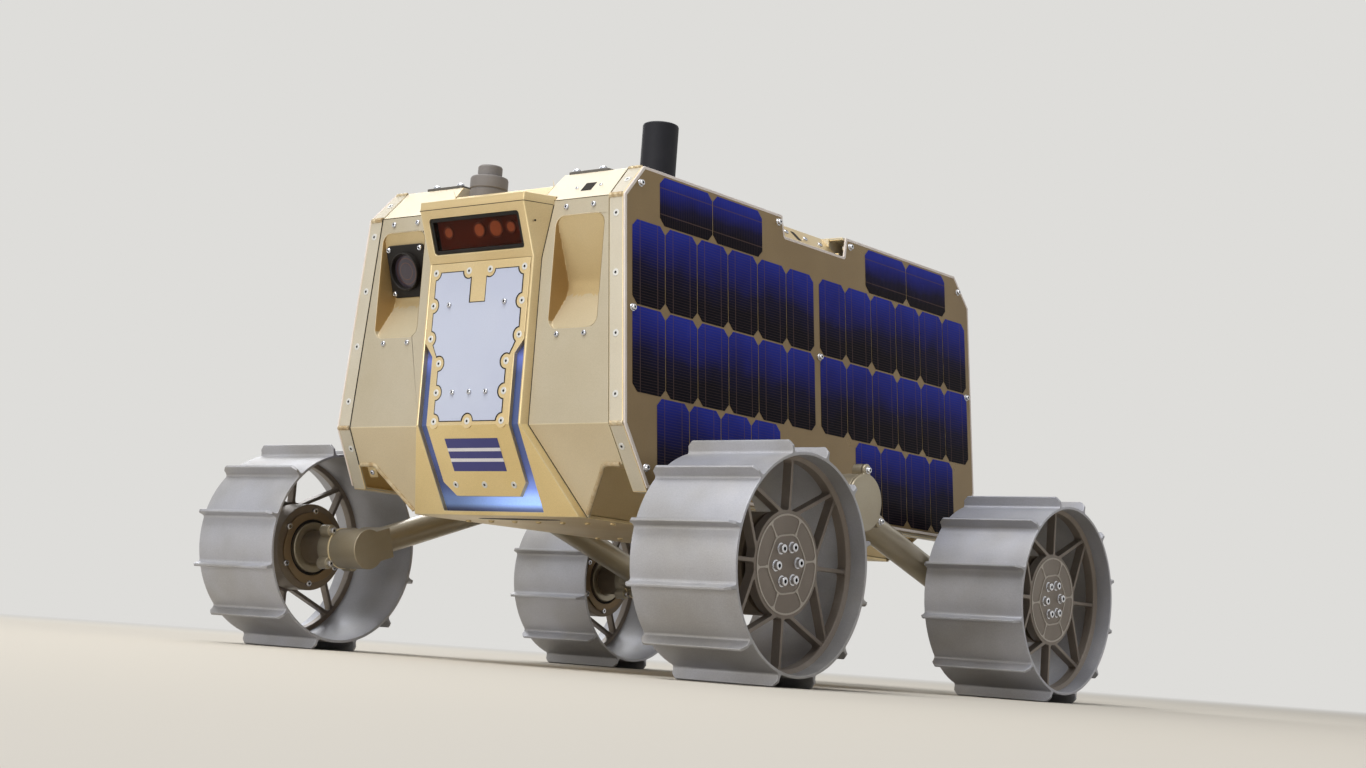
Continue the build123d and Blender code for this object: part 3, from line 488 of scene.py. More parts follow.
def pocket_lining(side):
    """Smooth scoop: the back leans in going down and turns forward to the lip; soft corners."""
    half_wide, half_tall, middle_x, middle_rise = 26.25, 46.5, 102.25, 124.5
    back_lean, lip_rise, lip_slope = 0.337, 78.2, 0.58
    insets = [0.15 * n for n in range(4)] + [0.6 + 0.4 * n for n in range(16)]
    insets += [7.2, 8.2, 10, 12.5, 15.5, 19, 22.5, 25.8]
    bm = bmesh.new()
    rings = []
    for inset in insets:
        wide, tall = half_wide - inset, half_tall - inset
        bend = min(max(9.0 - inset, 3.5), wide)
        arcs = []
        for quarter, (right, up) in enumerate(((1, 1), (-1, 1), (-1, -1), (1, -1))):
            arc = [polar(bend, quarter * 90 + 15 * n) for n in range(7)]
            arcs.append([(right * (wide - bend) + x, up * (tall - bend) + z) for x, z in arc])
        loop = []
        for arc, following, steps in zip(arcs, arcs[1:] + arcs[:1], (8, 18, 8, 18)):
            (x1, z1), (x2, z2) = arc[-1], following[0]
            loop += arc
            loop += [(x1 + (x2 - x1) * n / steps, z1 + (z2 - z1) * n / steps) for n in range(1, steps)]
        ease = min(1.0, inset / 4)
        wall = 6.5 * inset * inset / (inset + 0.6)
        ring = []
        for x, z in loop:
            rise = middle_rise + z
            leaning = (middle_rise + half_tall - rise) * back_lean - 0.05
            lip = (rise - lip_rise) * lip_slope
            depth = blended(blended(leaning, lip, 9.0 * ease), wall, 5.0 * ease)
            ring.append(bm.verts.new((side * (middle_x + x), max(depth, -0.02), rise)))
        rings.append(ring)
    skin(bm, rings)
    # the last ring is narrow, and strips across it close the scoop's back
    last, around = rings[-1], len(rings[-1])
    for n in range(-27, 11):
        corners = list(dict.fromkeys(last[at % around] for at in (n, n - 1, 21 - n, 20 - n)))
        if len(corners) > 2:
            bm.faces.new(corners)
    return mesh_of(bm, "pocket_lining")


def cut_plate(loops, thickness, ease):
    """Flat plate in millimetres from closed outlines, the inner ones holes, with eased edges."""
    curve = bpy.data.curves.new("cut_plate", "CURVE")
    curve.dimensions = "2D"
    curve.fill_mode = "BOTH"
    curve.extrude = thickness / 2 - ease
    curve.bevel_depth = ease
    curve.bevel_resolution = 1
    curve.offset = -ease
    return curve_mesh(curve, loops, True)


def rounded_loop(corners, round_off, steps=4):
    """Closed outline through corners given as x, y and any size of their own, each rounded off."""
    loop = []
    for index, corner in enumerate(corners):
        around = (corners[index - 1], corner, corners[(index + 1) % len(corners)])
        before, middle, after = (Vector(point).xy for point in around)
        size = corner[2] if len(corner) > 2 else round_off
        start = middle + (before - middle).normalized() * min(size, (before - middle).length * 0.45)
        end = middle + (after - middle).normalized() * min(size, (after - middle).length * 0.45)
        for step in range(steps + 1):
            t = step / steps
            loop.append(tuple(start * (1 - t) ** 2 + middle * 2 * t * (1 - t) + end * t**2))
    return loop


def oblong(x, y):
    """Corners of an oblong from its half sizes."""
    return [(-x, -y), (x, -y), (x, y), (-x, y)]


def moved(x, y, z):
    """Shift along the axes of the place before it."""
    return Matrix.Translation((x, y, z))


def plate_x(rise):
    """Half width of the body over its leaning side plates."""
    return 166 - rise * 0.098


sand_coat = coated("sand_coat", (187, 177, 155), (180, 169, 145), 0.35, 0.5)
# painted light: a brighter copy of the sand coat for the front faces below the kink, as the floor's bounce would
# light them
bounce_lit_sand = coated("sand_coat_bounce_lit", (212, 197, 166), (204, 188, 156), 0.35, 0.5)
# the cover's eased edges get a paler copy of the sand coat
sand_edge = coated("sand_coat_pale_edge", (222, 208, 178), (204, 190, 158), 0.35, 0.45, dust=0.1)
# painted light and shade by facing: the upward foot gets a paler copy of the lining's gold, the side walls a
# darker one
pocket_coats = [
    coated("pocket_gold", (198, 177, 134), (186, 163, 118), 0.5, 0.46, dust=0.15),
    coated("pocket_foot_painted_light", (195, 182, 152), (186, 171, 140), 0.5, 0.46, dust=0.15),
    coated("pocket_side_painted_shade", (178, 147, 96), (166, 134, 84), 0.5, 0.46, dust=0.1),
]
softened("rear_cover", sand_coat, sand_edge)
for side, node in ((1, "flank_cover_left"), (-1, "flank_cover_right")):
    bounce_lit_coat(softened(node, sand_coat, sand_edge), bounce_lit_sand)
    lining = gather(node + "_pocket", [(pocket_lining(side), on_body)], pocket_coats).data
    if any(face.normal.y > 0 for face in lining.polygons):
        lining.flip_normals()
    for face in lining.polygons:
        # painted light on the foot, painted shade on the side walls
        face.material_index = 1 if face.normal.z > 0.3 else 2 * int(abs(face.normal.x) > 0.6)

dome_steel = coated("polished_dome", (204, 206, 213), (188, 190, 197), 0.95, 0.18, relief=1e-5, dust=0.0)
rows = [(0.01, 0.7), (1.05, 0.7, 6), (1.05, 1.45, 6), (1.3, 1.6), (1.85, 1.45), (2.3, 1.05), (2.5, 0.5)]
dome_screw = socketed(rows + [(2.55, 0.0)], 1.1)
places = []
for side in (1, -1):
    for x, rise in ((115.7, 178.2), (86.4, 178.2), (116.0, 73.1), (86.5, 73.1)):
        places.append(facing(side * x, 0, rise, front, 9 * rise))
    for x in (24.0, 72.0, 120.0):
        places += [facing(side * x, rear_y, rise, (0, 1, 0), 13 * x) for rise in (8.0, 178.2)]
gather("flank_screws", [(dome_screw, places)], [dome_steel, socket])

lip_corners = [(149.5, 17.4, -30.2), (134, 17.4, -30.2), (130.5, 18.4, -31.8), (128.6, 20.2, -34.8)]
lip_corners += [(100.6, 39.0, -67.6), (99.4, 40.4, -70.0)]
ripple = 2.2
lip = []
for (x1, y1, z1), (x2, y2, z2) in zip(lip_corners, lip_corners[1:]):
    run = max(1, round(math.dist((x1, y1, z1), (x2, y2, z2)) / ripple))
    for n in range(run):
        t = n / run
        wave = 0.22 * math.sin(4.3 * len(lip))
        lip.append((x1 + (x2 - x1) * t + wave, y1 + (y2 - y1) * t, z1 + (z2 - z1) * t + wave))
lips = []
for side in (1, -1):
    for end_y, inward in ((0, 1), (rear_y, -1)):
        lips.append((wire([(side * x, end_y + inward * y, z) for x, y, z in lip], 2.0), on_body))
gather("brazed_lips", lips, [braze])

# painted shadow: this dark coat fills seams, gaps, holes and slots, where shade would fall
painted_shadow = coated("seam_shadow", (34, 28, 20), (24, 20, 14), 0.0, 0.9, dust=0.0)
strip_width = 16.95
seams = []
for side in (1, -1):
    top, kink, foot, roof = (side * (plate_x(rise) - strip_width) for rise in (184.3, 0.0, -30.5, 212.5))
    # painted shadow of the strip's step on its cover, wider on the right, where that shadow shows
    strip_shadow_width = 0.36 - 0.24 * side
    for y, inward in ((0.02, 17.6), (rear_y - 0.02, -17.6)):
        seams.append(([(top, y, 184.3), (kink, y, 0), (foot, y + inward, -30.5)], strip_shadow_width))
    console_side = [(72.2, 0.1, 181), (63.5, 0.1, 138), (63.5, 0.1, 0), (98.6, 41.2, -71.2)]
    seams.append(([(side * x, y, z) for x, y, z in console_side], 0.4))
    seams.append(([(side * 72.0, 0.1, 184.4), (top, 0.1, 184.4)], 0.28))
    seams.append(([(top, 0.05, 184.5), (roof, 24.5, 212.5)], 0.25))
# each seam is a dark wire of painted shadow along a joint
seams = [(wire(line, radius), on_body) for line, radius in seams]
gather("cover_seams", seams, [painted_shadow])

tab = cut_plate([rounded_loop(oblong(5, 5), 1.2)], 1.6, 0.3)
tab_place = facing(-139.0, 23.0, -36.0, under)
gather("skirt_tab", [(tab, tab_place)], [gold_coat])
gather("skirt_screw", [(dome_screw, tab_place @ moved(0, 0, 0.8))], [dome_steel, socket])

# Nose console: a bent housing in the gold coat. Its cap is a separate strip, so a fine seam
# runs under it, round the visor's front and both sides.
# painted light: a brighter copy of the gold coat for the front faces below the kink, as the floor's bounce would
# light them
bounce_lit_gold = coated("gold_coat_bounce_lit", (238, 216, 164), (228, 204, 148), 0.88, 0.38, dust=0.1)
bounce_lit_coat(softened("console", gold_coat, gold_edge, 0.0008), bounce_lit_gold)
cap_line = [(-71.5, -0.6, 181), (-60, -23.5, 181), (60, -23.5, 181), (71.5, -0.6, 181)]
pin_hole = turned([(0.01, 0.06), (0.7, 0.06), (0.9, 0.0)], 20)
# the cap's seam and the two pin holes are painted shadow, in dark wire and discs
console_seams = [(wire(cap_line, 0.3), on_body)]
for side in (1, -1):
    console_seams.append((pin_hole, facing(side * 64.9, -13.0, 166.0, (side * 0.888, -0.445, -0.1))))
gather("console_seams", console_seams, [painted_shadow])


# Console plate and its white cover: the gold plate is folded at the kink and has round ears
# where the screws pass, and the matt white cover is cut away round them with a dark gap.
def front_loops(node):
    """Outlines of a CAD plate's front face as x and rise, in millimetres."""
    bm = bmesh.new()
    bm.from_mesh(frame["nodes"][node].data)
    bmesh.ops.remove_doubles(bm, verts=bm.verts, dist=2e-6)
    nearest = min(vert.co.y for vert in bm.verts)
    faces = {f for f in bm.faces if f.normal.y < -0.99 and f.calc_center_median().y < nearest + 0.0001}
    links = {}
    for edge in bm.edges:
        if sum(f in faces for f in edge.link_faces) == 1:
            a, b = edge.verts
            links.setdefault(a, []).append(b)
            links.setdefault(b, []).append(a)
    loops = []
    while links:
        start = next(iter(links))
        loop, here, before = [], start, None
        while here in links:
            onward = [v for v in links.pop(here) if v is not before]
            loop.append((here.co.x * 1000, (here.co.z - kink_z) * 1000))
            before, here = here, next((v for v in onward if v in links), start)
        loops.append(loop)
    bm.free()
    return loops


# the plate's front faces below the kink get the painted bounce light too
bounce_lit_coat(softened("console_plate", gold_coat, gold_edge, 0.0004), bounce_lit_gold)
white_coat = coated("white_coat", (190, 196, 214), (184, 190, 210), 0.0, 0.5, dust=0.1)
softened("cover_plate", white_coat, None, 0.00025)
plate_y = -6.5
# the gap round the cover is painted shadow, a dark wire along its outline
gaps = [[(x, plate_y, z) for x, z in loop] for loop in front_loops("cover_plate")]
gather("cover_gap", [(wire(gap, 0.6, closed=True), on_body) for gap in gaps], [painted_shadow])
ear = turned([(0.01, 1.2), (6.1, 1.2), (6.1, 0.0)], 40)
edge_screws = [(51.2, 130.0), (51.2, 101.7), (51.2, 73.5), (39.0, 52.0), (39.0, 27.3), (39.0, 2.9)]
edge_screws = [(side * x, rise) for x, rise in edge_screws + [(12.2, 130.0)] for side in (1, -1)]
edge_screws.append((0.0, 2.9))
places = [facing(x, -5.33, rise, front) for x, rise in edge_screws]
gather("cover_ears", [(ear, places)], [gold_coat])
places = [facing(x, -6.52, rise, front, 17 * x) for x, rise in edge_screws]
places += [facing(x, 20.6, -47.0, under, 9 * x) for x in (-33.6, 0.0, 33.6)]
gather("console_screws", [(flat_screw, places)], [zinc, socket])
studs = [(32, 101.7), (-32, 101.7), (-19.5, 27.3), (0, 27.3), (19, 27.3)]
places = [facing(x, -6.8, rise, front, 11 * x) for x, rise in studs]
gather("cover_studs", [(dome_screw, places)], [dome_steel, socket])

# Panel on the lower plate: a plain blue rectangle with two pale stripes across it, printed on
# thin film that is stuck to the gold coat.
panel_blue = coated("panel_blue", (57, 58, 124), (53, 54, 118), 0.0, 0.4, dust=0.05)
panel_pale = coated("panel_stripe", (226, 224, 226), (220, 218, 222), 0.0, 0.4, dust=0.05)
panel_table = [
    # name, foot, top, height off the plate, finish
    ("panel_ground", -14.8, 14.8, 0.12, panel_blue),
    ("panel_stripes", 3.2, 6.2, 0.2, panel_pale),
    ("panel_stripes_low", -6.2, -3.2, 0.2, panel_pale),
]
for name, foot, top, lift, finish in panel_table:
    film = cut_plate([[(-30.4, foot), (30.4, foot), (30.4, top), (-30.4, top)]], 0.1, 0.02)
    gather(name, [(film, facing(-0.1, 7.07, -23.5, under) @ moved(0, 0, lift))], [finish])


# Light channel: a translucent diffuser in the slots behind the plate, over blue lamps that
# sit behind its lower band, so the upper tips stay dark.
def colour_ramp(tree, value, stops):
    """Output of a ramp through colours at their stops, of which the first is 0."""
    ramp = add_node(tree, "ValToRGB", {0: value})
    elements = ramp.color_ramp.elements
    elements.remove(elements[1])
    for stop, tone in stops:
        element = elements.new(stop) if stop else elements[0]
        element.color = shade(*tone)
    return ramp, 0


def dressed(node, finish):
    """Gives its finish to a CAD solid that stays as it is."""
    frame["nodes"][node].data.materials.clear()
    frame["nodes"][node].data.materials.append(finish)


glow, tree, surface = new_finish("lamp_diffuser")
place = (add_node(tree, "TexCoord"), "Object")
axes = add_node(tree, "SeparateXYZ", {0: place})
glow_stops = [
    # height up the channel, colour
    (0.0, (56, 62, 92)),
    (0.025, (92, 106, 150)),
    (0.05, (150, 186, 255)),
    (0.09, (146, 178, 250)),
    (0.14, (104, 126, 196)),
    (0.23, (74, 86, 138)),
    (0.48, (62, 77, 120)),
    (0.78, (62, 78, 126)),
    (0.87, (96, 112, 188)),
    (0.94, (46, 50, 76)),
    (1.0, (18, 20, 28)),
]
glow_tone = colour_ramp(tree, mapped(tree, (axes, "Z"), 0.125, 0.268), glow_stops)
# the lower band is brighter on the left; the upper ends are even
sideways = mapped(tree, (axes, "X"), -0.05, 0.05, 0.25, 1.05, kind="SMOOTHSTEP")
evened = mixed(tree, mapped(tree, (axes, "Z"), 0.15, 0.17), sideways, 0.76, "FLOAT")
grained = add_node(tree, "Group", {"Place": place, "Grain Scale": 600.0}, node_tree=grain_group)
mottled = mapped(tree, (grained, "Speckle"), 0.0, 1.0, 0.9, 1.1)
strength = maths(tree, "MULTIPLY", evened, mottled)
glowing = (add_node(tree, "VectorMath", {0: glow_tone, "Scale": strength}, operation="SCALE"), 0)
set_inputs(tree, surface, {"Base Color": glowing, "Emission Color": glowing})
set_inputs(tree, surface, {"Roughness": 0.5, "Emission Strength": 0.7})
dressed("light_channel", glow)

# Sensor window: a black frame in the visor with dark amber filter glass, and four coated
# lenses on a dark board behind it.
black = coated("black_plastic", (28, 24, 21), (22, 19, 17), 0.0, 0.5, dust=0.05, gloss=0.25)
softened("sensor_bezel", black)
amber, tree, surface = new_finish("amber_glass")
place = (add_node(tree, "TexCoord"), "Object")
grained = add_node(tree, "Group", {"Place": place, "Drift Scale": 14.0}, node_tree=grain_group)
tinted = mixed(tree, (grained, "Drift"), (0.64, 0.38, 0.26, 1), (0.57, 0.32, 0.21, 1))
set_inputs(tree, surface, {"Base Color": tinted, "Roughness": 0.03})
set_inputs(tree, surface, {"Transmission Weight": 1.0, "IOR": 1.16})
dressed("sensor_glass", amber)
board = coated("lens_board", (94, 32, 8), (84, 27, 7), 0.0, 0.6, dust=0.0)
dressed("sensor_lenses", board)

visor_lean = math.radians(21.6)
lean_cos, lean_sin = math.cos(visor_lean), math.sin(visor_lean)
visor_foot, window_rise = 138.0, 159.4
window_y = plate_y - (window_rise - visor_foot) * math.tan(visor_lean)


def behind_window(x, up, deep):
    """Place behind the window's middle, up along the visor and deep into it."""
    back = window_y - up * lean_sin + deep * lean_cos
    rise = window_rise + up * lean_cos + deep * lean_sin
    return facing(x, back, rise, (0, -lean_cos, -lean_sin))


lens_orange = coated("lens_coating", (220, 182, 164), (204, 164, 144), 0.1, 0.12, dust=0.0)
lens_barrel = coated("lens_barrel", (122, 96, 104), (108, 84, 92), 0.0, 0.4, dust=0.0)
lenses = []
for x, r in ((-36.0, 4.0), (0.0, 5.2), (19.0, 6.4), (36.0, 4.0)):
    rows = [(r + 1.6, -7.0), (r + 1.6, 0.3), (r + 1.0, 0.5), (r, 0.1), (r * 0.6, 0.4), (0.01, 0.5)]
    lenses.append((socketed(rows, r + 0.1, 40), behind_window(x, 2.0, 5.4)))
gather("window_lenses", lenses, [lens_barrel, lens_orange])
backing = cut_plate([oblong(48.3, 12.1)], 0.6, 0.05)
gather("window_backing", [(backing, behind_window(0, 0, 6.6))], [board])

# Camera in the right flank's pocket: a black square plate with a screw in each corner and a
# round lens whose coated rings step inward.
softened("camera_plate", black, None, 0.0008)
lens_glass = coated("lens_glass", (66, 58, 66), (56, 48, 56), 0.0, 0.16, dust=0.03)
lens_ring = coated("lens_ring", (98, 68, 58), (88, 60, 52), 0.0, 0.2, dust=0.0)
# it leans with the pocket's back, by 20 mm over a height of 59 mm
camera_lean = math.atan(20.0 / 59.0)
camera_normal = Vector((0, -math.cos(camera_lean), -math.sin(camera_lean)))
plate_low, plate_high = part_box("camera_plate")
half_plate = 0.0015
plate_face = Matrix.Translation((plate_low + plate_high) / 2 + camera_normal * half_plate)
camera_place = plate_face @ aimed(camera_normal) @ in_mm
rows = [(16.5, 0.0), (16.5, 4.6), (16.1, 5.0), (15.5, 5.0), (15.1, 4.6), (14.6, 0.6), (11.6, 1.0)]
lens_mesh = turned(rows + [(11.0, 1.1), (7.6, 1.5), (7.1, 1.5), (0.01, 1.9)], 64)
for face in lens_mesh.polygons:
    reach = math.hypot(*face.center.xy)
    face.material_index = 2 if reach > 14.5 else int(11.1 < reach < 11.5 or 7.2 < reach < 7.5)
camera_coats = [lens_glass, lens_ring, black]
gather("camera_lens_rings", [(lens_mesh, camera_place)], camera_coats, ["camera_lens"])
places = []
for x in (1, -1):
    for y in (1, -1):
        corner = moved(x * 19.2, y * 19.2, 0) @ Matrix.Rotation(x + 0.4 * y, 4, "Z")
        places.append(camera_place @ corner)
gather("camera_screws", [(dome_screw, places)], [dome_steel, socket])

# Roof: raised covers each side of the centre channel carry a dark radiator plate with dome
# screws; the front chamfers are plain but for a square hole with two small screws on the left.
roof_coat = coated("roof_coat", (229, 218, 194), (222, 209, 181), 0.3, 0.42, dust=0.3)
for node in ("roof_cover_left", "roof_cover_right"):
    softened(node, roof_coat, gold_edge, 0.0006)
radiator_coat = coated("radiator_coat", (96, 92, 86), (84, 80, 74), 0.3, 0.5, dust=0.12)
rows = [(0.01, 1.6), (1.3, 1.6, 6), (1.3, 2.9, 6), (1.7, 3.0), (2.8, 2.5), (3.4, 1.4), (3.5, 0.0)]
roof_screw = socketed(rows, 1.4)
rows = [(0.01, 0.4), (0.6, 0.4, 6), (0.6, 0.8, 6), (1.1, 0.9), (1.5, 0.6), (1.6, 0.0)]
small_screw = socketed(rows, 0.65, 28)
radiator_edge = [(62.0, 24.9), (106, 24.9), (106, 66), (125, 66), (125, 205), (62.0, 205)]
radiators, places = [], []
for side in (1, -1):
    loop = rounded_loop([(side * x, y) for x, y in radiator_edge], 3.0)
    radiators.append((cut_plate([loop], 2.4, 0.3), on_body @ moved(0, 0, 213.7)))
    for x, y in ((68, 29.5), (97, 29.5), (69, 110), (119, 110), (69, 198), (119, 198), (95, 198)):
        places.append(facing(side * x, y, 214.9, (0, 0, 1), 8 * x))
gather("radiator_plates", radiators, [radiator_coat])
# the square hole is painted shade: a thin dark plate on the chamfer
hole_place = facing(99.5, 10.2, 196.2, brow)
hole_edge = cut_plate([oblong(5.6, 5.4)], 0.3, 0.05)
gather("inspection_hole", [(hole_edge, hole_place)], [painted_shadow])
roof_screws = [
    (roof_screw, places),
    (small_screw, [hole_place @ moved(x, y, 0) for x, y in ((-12.5, -0.4), (12.5, 0.8))]),
    (dome_screw, [facing(x, 50.0, 201.0, (0, 0, 1), 9 * x) for x in (-41.0, -14.0, 14.0, 41.0)]),
]
gather("roof_screws", roof_screws, [dome_steel, socket])

# Notch plates: slanting gold plates behind the side plates' notches, each with three screws
# and a dark slot.
softened("notch_plates", gold_coat, gold_edge)
notch_top, notch_foot = 212.5, 194.0
notch_drop = notch_top - notch_foot
top_inset, foot_inset = 24.81, 6.01
top_x = plate_x(notch_top) - top_inset
out_x = plate_x(notch_foot) - foot_inset - top_x


def on_notch(side, y, down, turn=0.0):
    """Place on a notch plate, from the body's middle and part of the way down."""
    x, back, rise = top_x + out_x * down, -nose_y * 1000 + y, notch_top - notch_drop * down
    return facing(side * x, back, rise, Vector((side * notch_drop, 0, out_x)).normalized(), turn)


screw_rows = [(-22, 0.45), (6, 0.5), (28, 0.55)]
places = [on_notch(side, y, down, 5 * y) for side in (1, -1) for y, down in screw_rows]
gather("notch_screws", [(dome_screw, places)], [dome_steel, socket])
# each slot is painted shade: a thin dark plate on the notch plate
notch_slot = cut_plate([rounded_loop(oblong(3.0, 7.0), 2.4)], 0.3, 0.05)
places = [on_notch(side, -8, 0.5) for side in (1, -1)]
gather("notch_slots", [(notch_slot, places)], [painted_shadow])

# Antennas: a dark moulded mast on the left roof cover and a stepped grey puck on the nose
# plate, both turned housings that stand on their own foot.
mast_rows = [(15.2, 0.0), (15.2, 50.6), (14.6, 51.9), (13.4, 52.5), (0.01, 52.5)]
mast_coat = coated("mast_grey", (28, 28, 34), (24, 24, 29), 0.0, 0.6, 900.0, 0.00006, 0.03, gloss=0.25)
puck_rows = [(16.5, 0.0), (16.5, 8.0), (15.6, 8.6), (15.6, 9.6), (16.5, 10.2)]
puck_rows += [(16.5, 18.6), (15.8, 20.2), (14.4, 20.8), (11.2, 20.8), (10.6, 21.6)]
puck_rows += [(10.6, 29.4), (9.8, 30.6), (8.8, 30.8), (0.01, 30.8)]
puck_coat = coated("puck_grey", (122, 117, 114), (112, 107, 104), 0.0, 0.5)
antennas = [
    # node, turned rows, finish, slot
    ("antenna_mast", mast_rows, mast_coat, "mast_grey"),
    ("antenna_puck", puck_rows, puck_coat, "puck_grey"),
]
for node, rows, coat, slot in antennas:
    low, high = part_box(node)
    foot_place = moved((low.x + high.x) / 2, (low.y + high.y) / 2, low.z) @ in_mm
    gather(node + "_shell", [(turned(rows, 64), foot_place)], [coat], [node])

# Side plates: glossy bronze laminate with a pale cut edge, held off the body on spacers by
# cap screws, and covered with dark blue silicon cells with cut corners.
bronze = coated("bronze_laminate", (140, 117, 78), (130, 107, 70), 0.3, 0.3, dust=0.04)
pale_edge = coated("laminate_edge", (236, 226, 218), (222, 210, 200), 0.0, 0.6)
bare_border = 0.0021
for node in ("solar_plate_left", "solar_plate_right"):
    plate = softened(node, bronze, pale_edge, 0.0004, 1).data
    rimmed = bmesh.new()
    rimmed.from_mesh(plate)
    for face in rimmed.faces:
        face.material_index = int(abs(face.normal.x) < 0.9)
    sheets = [face for face in rimmed.faces if not face.material_index]
    border = bmesh.ops.inset_region(rimmed, faces=sheets, thickness=bare_border, use_even_offset=True)
    for face in border["faces"]:
        face.material_index = 1
    rimmed.to_mesh(plate)
    rimmed.free()

# painted reflection: each row of cells is dark at its foot and blue at its top
cell_coat, tree, surface = new_finish("silicon_cell")
coords = add_node(tree, "TexCoord")
cell_axes = add_node(tree, "SeparateXYZ", {0: (coords, "UV")})
body_axes = add_node(tree, "SeparateXYZ", {0: (coords, "Object")})
rows_foot, rows_top, cells_top = -0.0443, 0.1664, 0.208
cell_rise = maths(tree, "SUBTRACT", (body_axes, "Z"), kink_z)
row_part = maths(tree, "FRACT", mapped(tree, cell_rise, rows_foot, rows_top, 0.0, 3.0, clamp=False))
top_part = mapped(tree, cell_rise, rows_top, cells_top)
is_top = maths(tree, "GREATER_THAN", cell_rise, rows_top + 0.0003)
up_cell = mixed(tree, is_top, row_part, top_part, "FLOAT")
cell_grain = {"Place": (coords, "Object"), "Grain Scale": 900.0, "Drift Scale": 16.0}
uneven = add_node(tree, "Group", cell_grain, node_tree=grain_group)
drifted = mapped(tree, (uneven, "Drift"), 0.3, 0.7, -0.1, 0.1)
cell_stops = [
    # height up the cell, colour
    (0.0, (18, 16, 24)),
    (0.22, (19, 17, 27)),
    (0.45, (25, 24, 56)),
    (0.72, (36, 41, 124)),
    (1.0, (46, 58, 164)),
]
cell_blue_reflection = colour_ramp(tree, maths(tree, "ADD", up_cell, drifted), cell_stops)
# fingers run across the bars, 2.3 mm apart; two bars cross each cell
finger_count, finger_gap, finger_weight = 30.0, 0.8, 0.27
bar_half, bar_weight = 0.011, 0.56
finger_part = maths(tree, "FRACT", maths(tree, "MULTIPLY", (cell_axes, "Y"), finger_count))
fingers = maths(tree, "MULTIPLY", maths(tree, "GREATER_THAN", finger_part, finger_gap), finger_weight)
bars = []
for centre in (0.23, 0.77):
    off_bar = maths(tree, "ABSOLUTE", maths(tree, "SUBTRACT", (cell_axes, "X"), centre))
    bars.append(maths(tree, "LESS_THAN", off_bar, bar_half))
bars = maths(tree, "MULTIPLY", maths(tree, "MAXIMUM", *bars), bar_weight)
printed = mixed(tree, maths(tree, "MAXIMUM", bars, fingers), cell_blue_reflection, shade(102, 82, 76))
shine = mapped(tree, (uneven, "Drift"), 0.3, 0.7, 0.16, 0.3)
set_inputs(tree, surface, {"Base Color": printed, "Roughness": shine})
set_inputs(tree, surface, {"IOR": 1.3, "Specular IOR Level": 0.06})

cell_rows = [
    # middle's rise, first edge from the body's middle, columns, pitch, length, height
    (61.25, 4.0, 6, 42.0, 41.0, 69.5),
    (131.75, 4.0, 6, 42.0, 41.0, 69.5),
    (-9.25, 57.5, 4, 42.0, 41.0, 69.5),
    (188.0, 80.0, 2, 70.5, 69.5, 41.0),
]
corner_cut = 6.0
lean = math.radians(5.6)
for side, node in ((1, "solar_cells_left"), (-1, "solar_cells_right")):
    plate_axes = Matrix((
        (0, -side * math.sin(lean), side * math.cos(lean), 0),
        (side, 0, 0, 0),
        (0, math.cos(lean), math.sin(lean), 0),
        (0, 0, 0, 1),
    ))
    bm = bmesh.new()
    cell_map = bm.loops.layers.uv.new("cell")
    for rise, first, columns, pitch, long, tall in cell_rows:
        a, b = long / 2, tall / 2
        one = [(a - corner_cut, b), (a, b - corner_cut), (a, corner_cut - b), (a - corner_cut, -b)]
        corners = one + [(-x, -y) for x, y in one]
        cy = rise / math.cos(lean)
        # each wafer is a thin slab with cut corners, a little smaller than its cell
        for cx in [end * (first + (n + 0.5) * pitch) for end in (1, -1) for n in range(columns)]:
            tops = [bm.verts.new((cx + x * 0.994, cy + y * 0.998, 0.3)) for x, y in corners]
            feet = [bm.verts.new((cx + x * 0.996, cy + y * 0.999, 0.1)) for x, y in corners]
            faces = [bm.faces.new(tops)]
            faces += [bm.faces.new((tops[n], tops[n - 1], feet[n - 1], feet[n])) for n in range(8)]
            for loop in [loop for face in faces for loop in face.loops]:
                u, v = (loop.vert.co.x - cx) / long + 0.5, (loop.vert.co.y - cy) / tall + 0.5
                loop[cell_map].uv = (u, v) if tall > long else (v, u)
    bmesh.ops.recalc_face_normals(bm, faces=bm.faces)
    cells_place = moved(side * plate_x(0) * 0.001, 0, kink_z) @ plate_axes @ in_mm
    gather(node + "_wafers", [(mesh_of(bm, "cells"), cells_place)], [cell_coat], [node])

steel = coated("bright_steel", (226, 227, 231), (212, 213, 218), 0.85, 0.26, relief=1e-5, dust=0.0)
rows = [(0.01, 1.5), (1.15, 1.5, 6), (1.15, 2.9, 6), (1.6, 3.0), (2.2, 2.7), (2.5, 2.1), (2.5, 0.8)]
stand_screw = socketed(rows + [(3.0, 0.7), (3.2, 0.4), (3.2, 0.0)], 1.25)
spacer = turned([(3.0, 0.0), (3.0, -6.5)], 24)
# distance from the nose, rise
plate_screws = [(19.6, 197.2), (9.3, 93.4), (25.3, -32.3), (208.6, 204.9)]
plate_screws += [(rear_y - back, rise) for back, rise in plate_screws] + [(268.3, 94.4)]
places = []
for side in (1, -1):
    normal = (side * math.cos(lean), 0, math.sin(lean))
    places += [facing(side * plate_x(rise), back, rise, normal, 31 * back) for back, rise in plate_screws]
gather("plate_screws", [(stand_screw, places)], [steel, socket])
gather("plate_spacers", [(spacer, places)], [steel])

